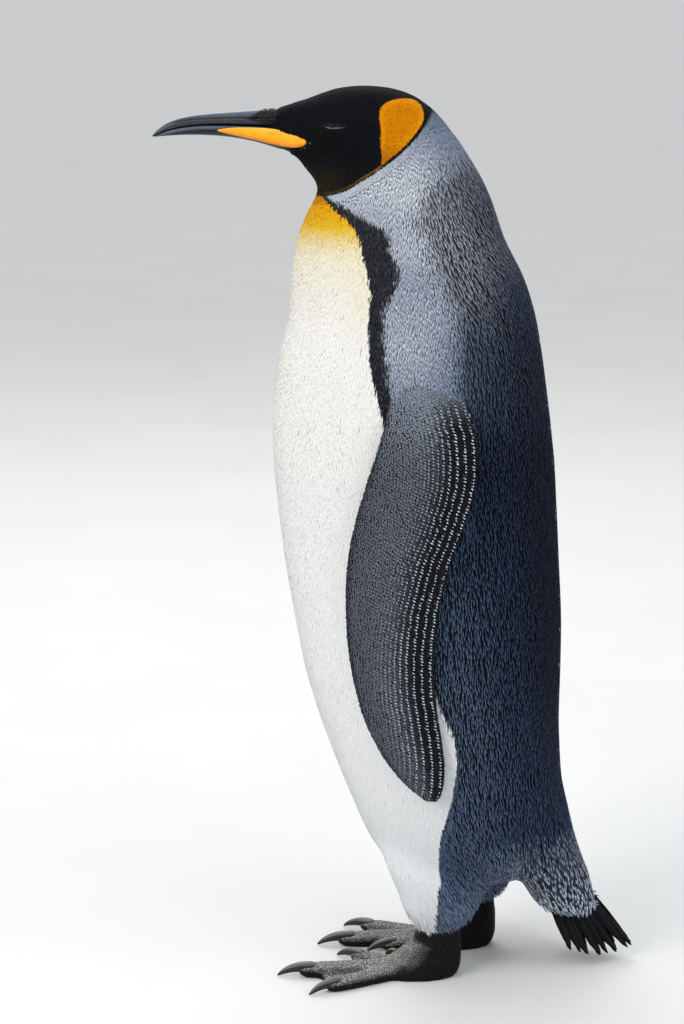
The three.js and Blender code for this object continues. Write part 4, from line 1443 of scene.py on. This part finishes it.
for side, middle in EYE_MIDDLE.items():
    ball = bmesh.new()
    bmesh.ops.create_uvsphere(ball, u_segments=48, v_segments=32, radius=EYE_RADIUS - EYE_SINK)
    bmesh.ops.rotate(ball, verts=ball.verts, matrix=Matrix.Rotation(math.radians(90), 3, "Y"))
    for vert in ball.verts:
        gap = math.hypot(vert.co.y, vert.co.z)
        if vert.co.x * SIGN[side] > 0:
            vert.co.x += SIGN[side] * CORNEA_RISE * math.exp(-((gap / CORNEA_REACH) ** 2))
        vert.co += middle
    eye_mesh = mesh_from(f"eyeball_{side}", ball)
    shade_smooth(eye_mesh)
    eye_material, shader, add, links = node_material(f"eye_{side}")
    centred = add("Mapping", {"Vector": add("TexCoord").outputs["Object"], "Location": tuple(-middle)})
    flat = add("VectorMath", {0: centred.outputs["Vector"], 1: (0, 1, 1)}, operation="MULTIPLY")
    gap = add("VectorMath", {0: flat.outputs[0]}, operation="LENGTH").outputs["Value"]
    fibres = add("TexNoise", {"Vector": centred.outputs["Vector"], "Scale": 900.0, "Detail": 3.0})
    wobble = add("Math", {0: fibres.outputs["Fac"], 1: 0.0012, 2: gap}, operation="MULTIPLY_ADD")
    span = add("MapRange", {"Value": wobble.outputs[0], "From Max": EYE_SPAN})
    rings = (PUPIL_REACH / EYE_SPAN, IRIS_REACH / EYE_SPAN)
    places = [place + blur for place in rings for blur in (0, RING_BLUR)]
    stops = [(place, linear(*tone)) for place, tone in zip(places, EYE_TONES.values())]
    links.new(ramp(add, span.outputs["Result"], stops), shader.inputs["Base Color"])
    shader.inputs["Roughness"].default_value = 0.12
    shader.inputs["Specular IOR Level"].default_value = 0.15
    shader.inputs["Coat Weight"].default_value = 0.25
    shader.inputs["Coat Roughness"].default_value = 0.03
    eye_mesh.materials.append(eye_material)
    eye = new_object(f"eyeball_{side}", eye_mesh)
    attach(eye, "root")
    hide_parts(f"eye_{side}")


# ---------------------------------------------------------------- bill
# Horn over bone, in an upper and a lower half that close on each other. A groove runs along each
# side of the upper half, and a smooth orange plate lies let into each side of the lower one.

# Distance along, lower edge, upper edge and half width, in millimetres, from the head to the tip.
UPPER_ROWS = [
    (-56, 812.8, 830.8, 9.7), (-66, 813.4, 830.2, 8.9), (-77, 814, 829.4, 8.1),
    (-94, 814.6, 827.8, 7.1), (-112, 815, 826.7, 6.2), (-130, 814.6, 825, 5.3),
    (-142, 813.6, 823.1, 4.6), (-152, 811.9, 820.6, 3.9), (-160, 809.7, 817.4, 3.2),
    (-167, 807.2, 812.8, 2.3), (-172, 804.9, 808.5, 1.4), (-174.6, 804, 805.2, 0.5),
]
LOWER_ROWS = [
    (-50, 790, 812.2, 12.6), (-62, 794.4, 813.6, 11.2), (-76, 798.8, 814.5, 9.6),
    (-94, 802.8, 815.1, 8.2), (-112, 805.1, 815.5, 7.0), (-130, 805.9, 815.2, 5.7),
    (-142, 806.0, 814.1, 4.7), (-152, 805.7, 812.4, 3.7), (-160, 805.2, 810.2, 2.8),
    (-166, 804.7, 807.8, 1.9), (-171, 804.3, 805.6, 1.0), (-173, 804.2, 804.8, 0.5),
]
# For the plates the last value is how far out their face lies.
PLATE_ROWS = [
    (-32.5, 799.4, 801.4, 19.6), (-33.4, 798.0, 802.8, 19.5), (-35.5, 796.3, 804.2, 19.2),
    (-42, 794.6, 808.2, 17.8), (-52, 795.2, 811.2, 14.8), (-66, 798.2, 812.8, 12.2),
    (-84, 802.6, 813.6, 10.2), (-102, 806.4, 813.2, 8.7), (-114, 809, 812, 7.4),
    (-119.5, 810.2, 811, 6.6),
]
PLATE_THICK = 4.8
BILL_SIDES = 16
PLATE_SIDES = 12
UPPER_NARROWING = 0.22  # of the width, towards the ridge
LOWER_NARROWING = 0.3
GROOVE_LINE = [
    (-156, 816.3), (-148.5, 818.3), (-139.3, 819.7), (-130, 820.3), (-112, 820.9), (-93.5, 821.5),
    (-70, 821.4),
]
GROOVE_WIDTH = 0.75
GROOVE_DEPTH = 0.9
# The feathers that run forward on the bill end above and below in these lines.
WEDGE_TOP = [(-90, 820.9), (-86, 822.3), (-76, 827.5), (-73, 832), (-60, 832)]
WEDGE_FOOT = [(-90, 820.9), (-86, 820.2), (-68, 815.2), (-60, 813.6)]
# The top tone is a painted reflection on the black horn. On the upper half, groove and low are painted
# shade in the groove and along the edge where the halves close; low is also the lower half's own black.
BILL_TONES = {
    "top": (58, 69, 84), "side": (32, 40, 50), "low": (9, 10, 12), "groove": (16, 12, 12),
    "rust": (96, 52, 38),
}
PLATE_TONES = {
    "middle": (218, 144, 0), "top": (226, 172, 70), "front": (200, 122, 8), "low": (204, 118, 0),
}


def lofted(rows, sides, corner):
    """A closed body through level-by-level rings. corner places one corner of one ring."""
    shape = bmesh.new()
    rings = []
    for row in rows:
        made = bmesh.ops.create_circle(shape, segments=sides, radius=1)["verts"]
        for vert in made:
            vert.co = corner(row, math.atan2(vert.co.y, vert.co.x))
        rings.append(list({edge for vert in made for edge in vert.link_edges}))
    for one, other in zip(rings, rings[1:]):
        bmesh.ops.bridge_loops(shape, edges=one + other)
    bmesh.ops.holes_fill(shape, edges=[edge for edge in shape.edges if edge.is_boundary])
    bmesh.ops.recalc_face_normals(shape, faces=shape.faces)
    return shape


def bill_corner(ridge, narrowing):
    """For a half of the bill with its ridge above, 1, or below, -1. Its other side is nearly flat."""

    def corner(row, turn):
        along, low, high, half = row
        rise = math.sin(turn)
        narrow = 1 - narrowing * max(ridge * rise, 0) ** 2
        if ridge * rise < 0:
            rise = -ridge * abs(rise) ** 0.55
        return place_of(half * math.cos(turn) * narrow, along, (high + low) / 2 + (high - low) / 2 * rise)

    return corner


def rounded(shape, name, levels):
    mesh = with_modifier(mesh_from(name, shape), "SUBSURF", levels=levels, render_levels=levels)
    mesh.name = name
    shade_smooth(mesh)
    return mesh


def edge_of(rows, column, along):
    """The lower edge of a lofted body, column 1, or its upper edge, column 2."""
    return on_line(along, [(row[0], row[column]) for row in reversed(rows)])


def horn_material(name, roughness, coat):
    """Horn: its own tone with fine growth lines along it and a soft gloss."""
    finish = node_material(name)
    material, shader, add, links = finish
    place = add("TexCoord").outputs["Object"]
    drawn = add("Mapping", {"Vector": place, "Scale": (700, 60, 700)}).outputs["Vector"]
    lines = add("TexNoise", {"Vector": drawn, "Scale": 1.0, "Detail": 4.0}).outputs["Fac"]
    cloud = add("TexNoise", {"Vector": place, "Scale": 120.0, "Detail": 3.0}).outputs["Fac"]
    both = add("Math", {0: lines, 1: cloud}, operation="ADD").outputs[0]
    spans = {"From Min": 0.7, "From Max": 1.3, "To Min": 0.8, "To Max": 1.18}
    shade = add("MapRange", {"Value": both, **spans})
    toned(finish, shade.outputs["Result"], roughness, 0.3, lines, 0.15, 0.0002)
    rough = add("MapRange", {"Value": cloud, "To Min": roughness - 0.08, "To Max": roughness + 0.1})
    links.new(rough.outputs["Result"], shader.inputs["Roughness"])
    shader.inputs["Coat Weight"].default_value = coat
    shader.inputs["Coat Roughness"].default_value = 0.2
    return material


bill_horn = horn_material("bill_horn", 0.36, 0.12)
upper_shape = lofted(UPPER_ROWS, BILL_SIDES, bill_corner(1, UPPER_NARROWING))
upper_mesh = rounded(upper_shape, "upper_bill", 3)
points = mesh_points(upper_mesh)
along, up, aside = side_view(points)
groove_gap = up - on_line(along, GROOVE_LINE)
groove = np.exp(-((groove_gap / GROOVE_WIDTH) ** 2)) * step_up(along, -158, -148)
points[:, 0] -= np.sign(aside) * groove * np.minimum(np.abs(aside), GROOVE_DEPTH) / 1000
upper_mesh.vertices.foreach_set("co", points.ravel())
rust = np.exp(-(((groove_gap + 0.55) / 0.28) ** 2)) * step_up(along, -160, -150)
over_edge = up - edge_of(UPPER_ROWS, 1, along)
in_wedge = np.minimum(on_line(along, WEDGE_TOP) - up, up - on_line(along, WEDGE_FOOT))
# Painted reflection on top, painted shade in the groove and along the closing edge.
tones = linear(*BILL_TONES["side"])
for tone, share in (
    (BILL_TONES["top"], step_up(groove_gap, 0.5, 4.5)),
    (BILL_TONES["groove"], np.clip(groove * 1.2, 0, 1)),
    (BILL_TONES["rust"], rust * 0.7),
    (BILL_TONES["low"], 1 - step_up(over_edge, 0.9, 1.9)),
    (HOOD_TONES[1], step_up(in_wedge, -0.8, 0.8) * step_up(along, -91, -84)),
):
    tones = mixed(tones, linear(*tone), share)
paint(upper_mesh, tones)
upper_mesh.materials.append(bill_horn)
upper = new_object("upper_bill", upper_mesh)
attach(upper, "root")
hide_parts("bill_upper")

lower_shape = lofted(LOWER_ROWS, BILL_SIDES, bill_corner(-1, LOWER_NARROWING))
lower_mesh = rounded(lower_shape, "lower_bill", 3)
along, up, aside = side_view(mesh_points(lower_mesh))
over_edge = up - edge_of(LOWER_ROWS, 2, along)
# The pale band below the lower half's upper edge is a painted reflection.
pale_share = step_up(over_edge, -5.0, -2.2) * (1 - step_up(over_edge, -1.3, -0.6))
paint(lower_mesh, mixed(linear(*BILL_TONES["low"]), linear(*BILL_TONES["top"]), pale_share))
lower_mesh.materials.append(bill_horn)
lower = new_object("lower_bill", lower_mesh)
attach(lower, "root")
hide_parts("bill_lower")

plate_horn = horn_material("plate_horn", 0.30, 0.15)
for side in ("left", "right"):

    def plate_corner(row, turn):
        along, low, high, out = row
        swell = PLATE_THICK / 2 * min(1.0, (high - low) / 5 + 0.25)
        across = SIGN[side] * (out - PLATE_THICK / 2 + swell * math.cos(turn))
        return place_of(across, along, (high + low) / 2 + (high - low) / 2 * math.sin(turn))

    plate_shape = lofted(PLATE_ROWS, PLATE_SIDES, plate_corner)
    plate_mesh = rounded(plate_shape, f"bill_plate_horn_{side}", 2)
    along, up, aside = side_view(mesh_points(plate_mesh))
    low_edge, high_edge = edge_of(PLATE_ROWS, 1, along), edge_of(PLATE_ROWS, 2, along)
    share = (up - low_edge) / np.maximum(high_edge - low_edge, 0.5)
    tones = linear(*PLATE_TONES["middle"])
    for part, amount in (
        ("low", 1 - step_up(share, 0.05, 0.45)),
        ("top", step_up(share, 0.80, 1.0) * 0.8),
        ("front", (1 - step_up(along, -119, -104)) * 0.6),
    ):
        tones = mixed(tones, linear(*PLATE_TONES[part]), amount)
    paint(plate_mesh, tones)
    plate_mesh.materials.append(plate_horn)
    plate = new_object(f"bill_plate_horn_{side}", plate_mesh)
    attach(plate, "root")
    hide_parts(f"bill_plate_{side}")


# ---------------------------------------------------------------- bill root feathers
# Very short hood feathers run forward on the horn in a wedge, down to a point in the groove.

WEDGE_TONES = ((15, 14, 16), (5, 5, 7))
WEDGE_GAP = 0.00062
WEDGE_LENGTH = 0.0030
WEDGE_WIDTH = 0.0010
WEDGE_DEPTH = 0.0005
WEDGE_LIFT = 0.0002


def on_wedge(middle, normals):
    along, up, aside = side_view(middle)
    between = (up < on_line(along, WEDGE_TOP)) & (up > on_line(along, WEDGE_FOOT))
    return (along < -58) & (along > -90) & between


roots, normals = spread_over(upper_mesh, on_wedge, WEDGE_GAP, 1.3)
way = unit(flat_to(normals, unit(np.tile([0.0, 1.0, 0.12], (len(roots), 1)))))
way = turned(way, normals, RANDOM.normal(0, 0.1, len(roots)))
forward = 1 - step_up(side_view(roots)[0], -88, -70)
tip_tones = mixed(linear(*HOOD_TONES[0]), linear(*WEDGE_TONES[0]), forward)
lay_vanes(
    "bill_root_feathers", velvet, roots + normals * WEDGE_LIFT, normals, way,
    WEDGE_LENGTH, WEDGE_WIDTH, WEDGE_DEPTH, (tip_tones, linear(*WEDGE_TONES[1])), head_unwrap,
    tree_of(upper_mesh), (0.4, 0.8), 0.00012, 0.2, 0.12,
)


# ---------------------------------------------------------------- foot scales
# Small horny scales, like beads flattened together, cover the bare feet and shanks. Those that
# face up, along the tops of the toes, are painted paler as a painted highlight.

SCALE_SIDES = 6
SCALE_GAP = 0.0019
SCALE_SIZES = (0.00095, 0.00115)
SCALE_RISE = 0.00045
SCALE_LONGER = 1.12


def scale_pattern():
    """One low six-sided bead: a broad foot, a narrower crown and a closed underside."""
    bead = bmesh.new()
    bmesh.ops.create_uvsphere(bead, u_segments=SCALE_SIDES, v_segments=4, radius=1)
    bmesh.ops.triangulate(bead, faces=bead.faces)
    bead.verts.index_update()
    points = np.array([vert.co for vert in bead.verts])
    points[:, 2] = np.where(points[:, 2] < 0, points[:, 2] * 0.35, points[:, 2])
    faces = np.array([[vert.index for vert in face.verts] for face in bead.faces])
    bead.free()
    return points, faces


def on_bare_foot(middle, normals):
    up = middle[:, 2] * 1000
    return (up > 2.5) & (up < FOOT_TOP + 2) & (normals[:, 2] > -0.45)


SCALE_POINTS, SCALE_FACES = scale_pattern()
scale_finish = node_material("foot_scale")
add = scale_finish[2]
place = add("TexCoord").outputs["Object"]
cloud = add("TexNoise", {"Vector": place, "Scale": 350.0, "Detail": 3.0}).outputs["Fac"]
shade = add("MapRange", {"Value": cloud, "From Min": 0.3, "From Max": 0.7, "To Min": 0.75, "To Max": 1.2})
foot_horn = toned(scale_finish, shade.outputs["Result"], 0.5, 0.1)
for side in ("left", "right"):
    roots, normals = spread_over(foot_meshes[side], on_bare_foot, SCALE_GAP, 1.0)
    ahead = unit(flat_to(normals, np.tile([0.0, -1.0, 0.0], (len(roots), 1))) + 1e-6)
    beside = np.cross(normals, ahead)
    size = RANDOM.uniform(*SCALE_SIZES, len(roots))
    sizes = np.stack([size, size * SCALE_LONGER, np.full(len(roots), SCALE_RISE)], axis=1)
    shape = SCALE_POINTS[None] * sizes[:, None]
    points = (
        roots[:, None]
        + beside[:, None] * shape[:, :, 0:1]
        + ahead[:, None] * shape[:, :, 1:2]
        + normals[:, None] * shape[:, :, 2:3]
    )
    scale_mesh, faces = joined_copies(f"foot_scales_{side}", points, SCALE_FACES)
    # Upward-facing scales are painted paler as a painted highlight, each a little less at random.
    painted_highlight = (step_up(normals[:, 2], 0.15, 0.9) + 0.02) * RANDOM.uniform(0.7, 1.0, len(roots))
    tones = mixed(linear(*FOOT_TONES["deep"]), linear(*FOOT_TONES["painted_highlight"]), painted_highlight)
    tones *= np.exp(RANDOM.normal(0, 0.16, len(roots)))[:, None]
    crown = np.clip(SCALE_POINTS[:, 2], 0, 1)
    painted = tones[:, None] * (0.5 + 0.6 * crown)[None, :, None]
    paint(scale_mesh, np.clip(painted.reshape(-1, 3), 0, 1))
    spots = np.stack([roots[:, 0] + 0.35 * normals[:, 0] * 0.03, roots[:, 1] + roots[:, 2] * 0.6], axis=1)
    patch_map(scale_mesh, spots, SCALE_POINTS[:, :2], faces)
    scale_mesh.materials.append(foot_horn)
    scales = new_object(f"foot_scales_{side}", scale_mesh)
    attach(scales, "root")


# ---------------------------------------------------------------- claws
# Curved horn sheaths, ridged along the top and painted paler there as a painted highlight, their points
# toned a dark grey.

# The ridge tone is a painted highlight along the claws' tops.
CLAW_TONES = {"root": (24, 23, 23), "ridge": (90, 89, 86), "tip": (30, 28, 27)}
SHEATH_THICK = 0.0010  # at the claw's root, and nothing at its point
UNDERSIDE_DROP = 0.0028
CLAW_FLOOR = 0.0003
claw_horn = horn_material("claw_horn", 0.42, 0.15)
for side in ("left", "right"):
    for toe in ("inner", "middle", "outer", "hallux"):
        node = f"claw_{side}_{toe}"
        low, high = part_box(node)
        shape = loose_copy(node)
        join_to_quads(shape, 40, 50)
        claw_mesh = rounded(shape, f"claw_horn_{side}_{toe}", 3)
        points = mesh_points(claw_mesh)
        normals = mesh_points(claw_mesh, "normal")
        ahead = (high.y - points[:, 1]) / (high.y - low.y)
        points += normals * (SHEATH_THICK * (1 - ahead))[:, None]
        drop = step_up(-normals[:, 2], 0.0, 0.9) * np.sqrt(np.clip(1 - ahead, 0, 1))
        points[:, 2] = np.maximum(points[:, 2] - UNDERSIDE_DROP * drop, CLAW_FLOOR)
        claw_mesh.vertices.foreach_set("co", points.ravel())
        # Upward faces are painted paler: a painted highlight.
        top = step_up(normals[:, 2], 0.2, 0.95)
        tones = mixed(linear(*CLAW_TONES["root"]), linear(*CLAW_TONES["ridge"]), top * 0.8)
        tones = mixed(tones, linear(*CLAW_TONES["tip"]), step_up(ahead, 0.8, 1.0) * 0.5)
        paint(claw_mesh, tones)
        claw_mesh.materials.append(claw_horn)
        claw = new_object(f"claw_horn_{side}_{toe}", claw_mesh)
        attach(claw, "root")
        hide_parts(node)
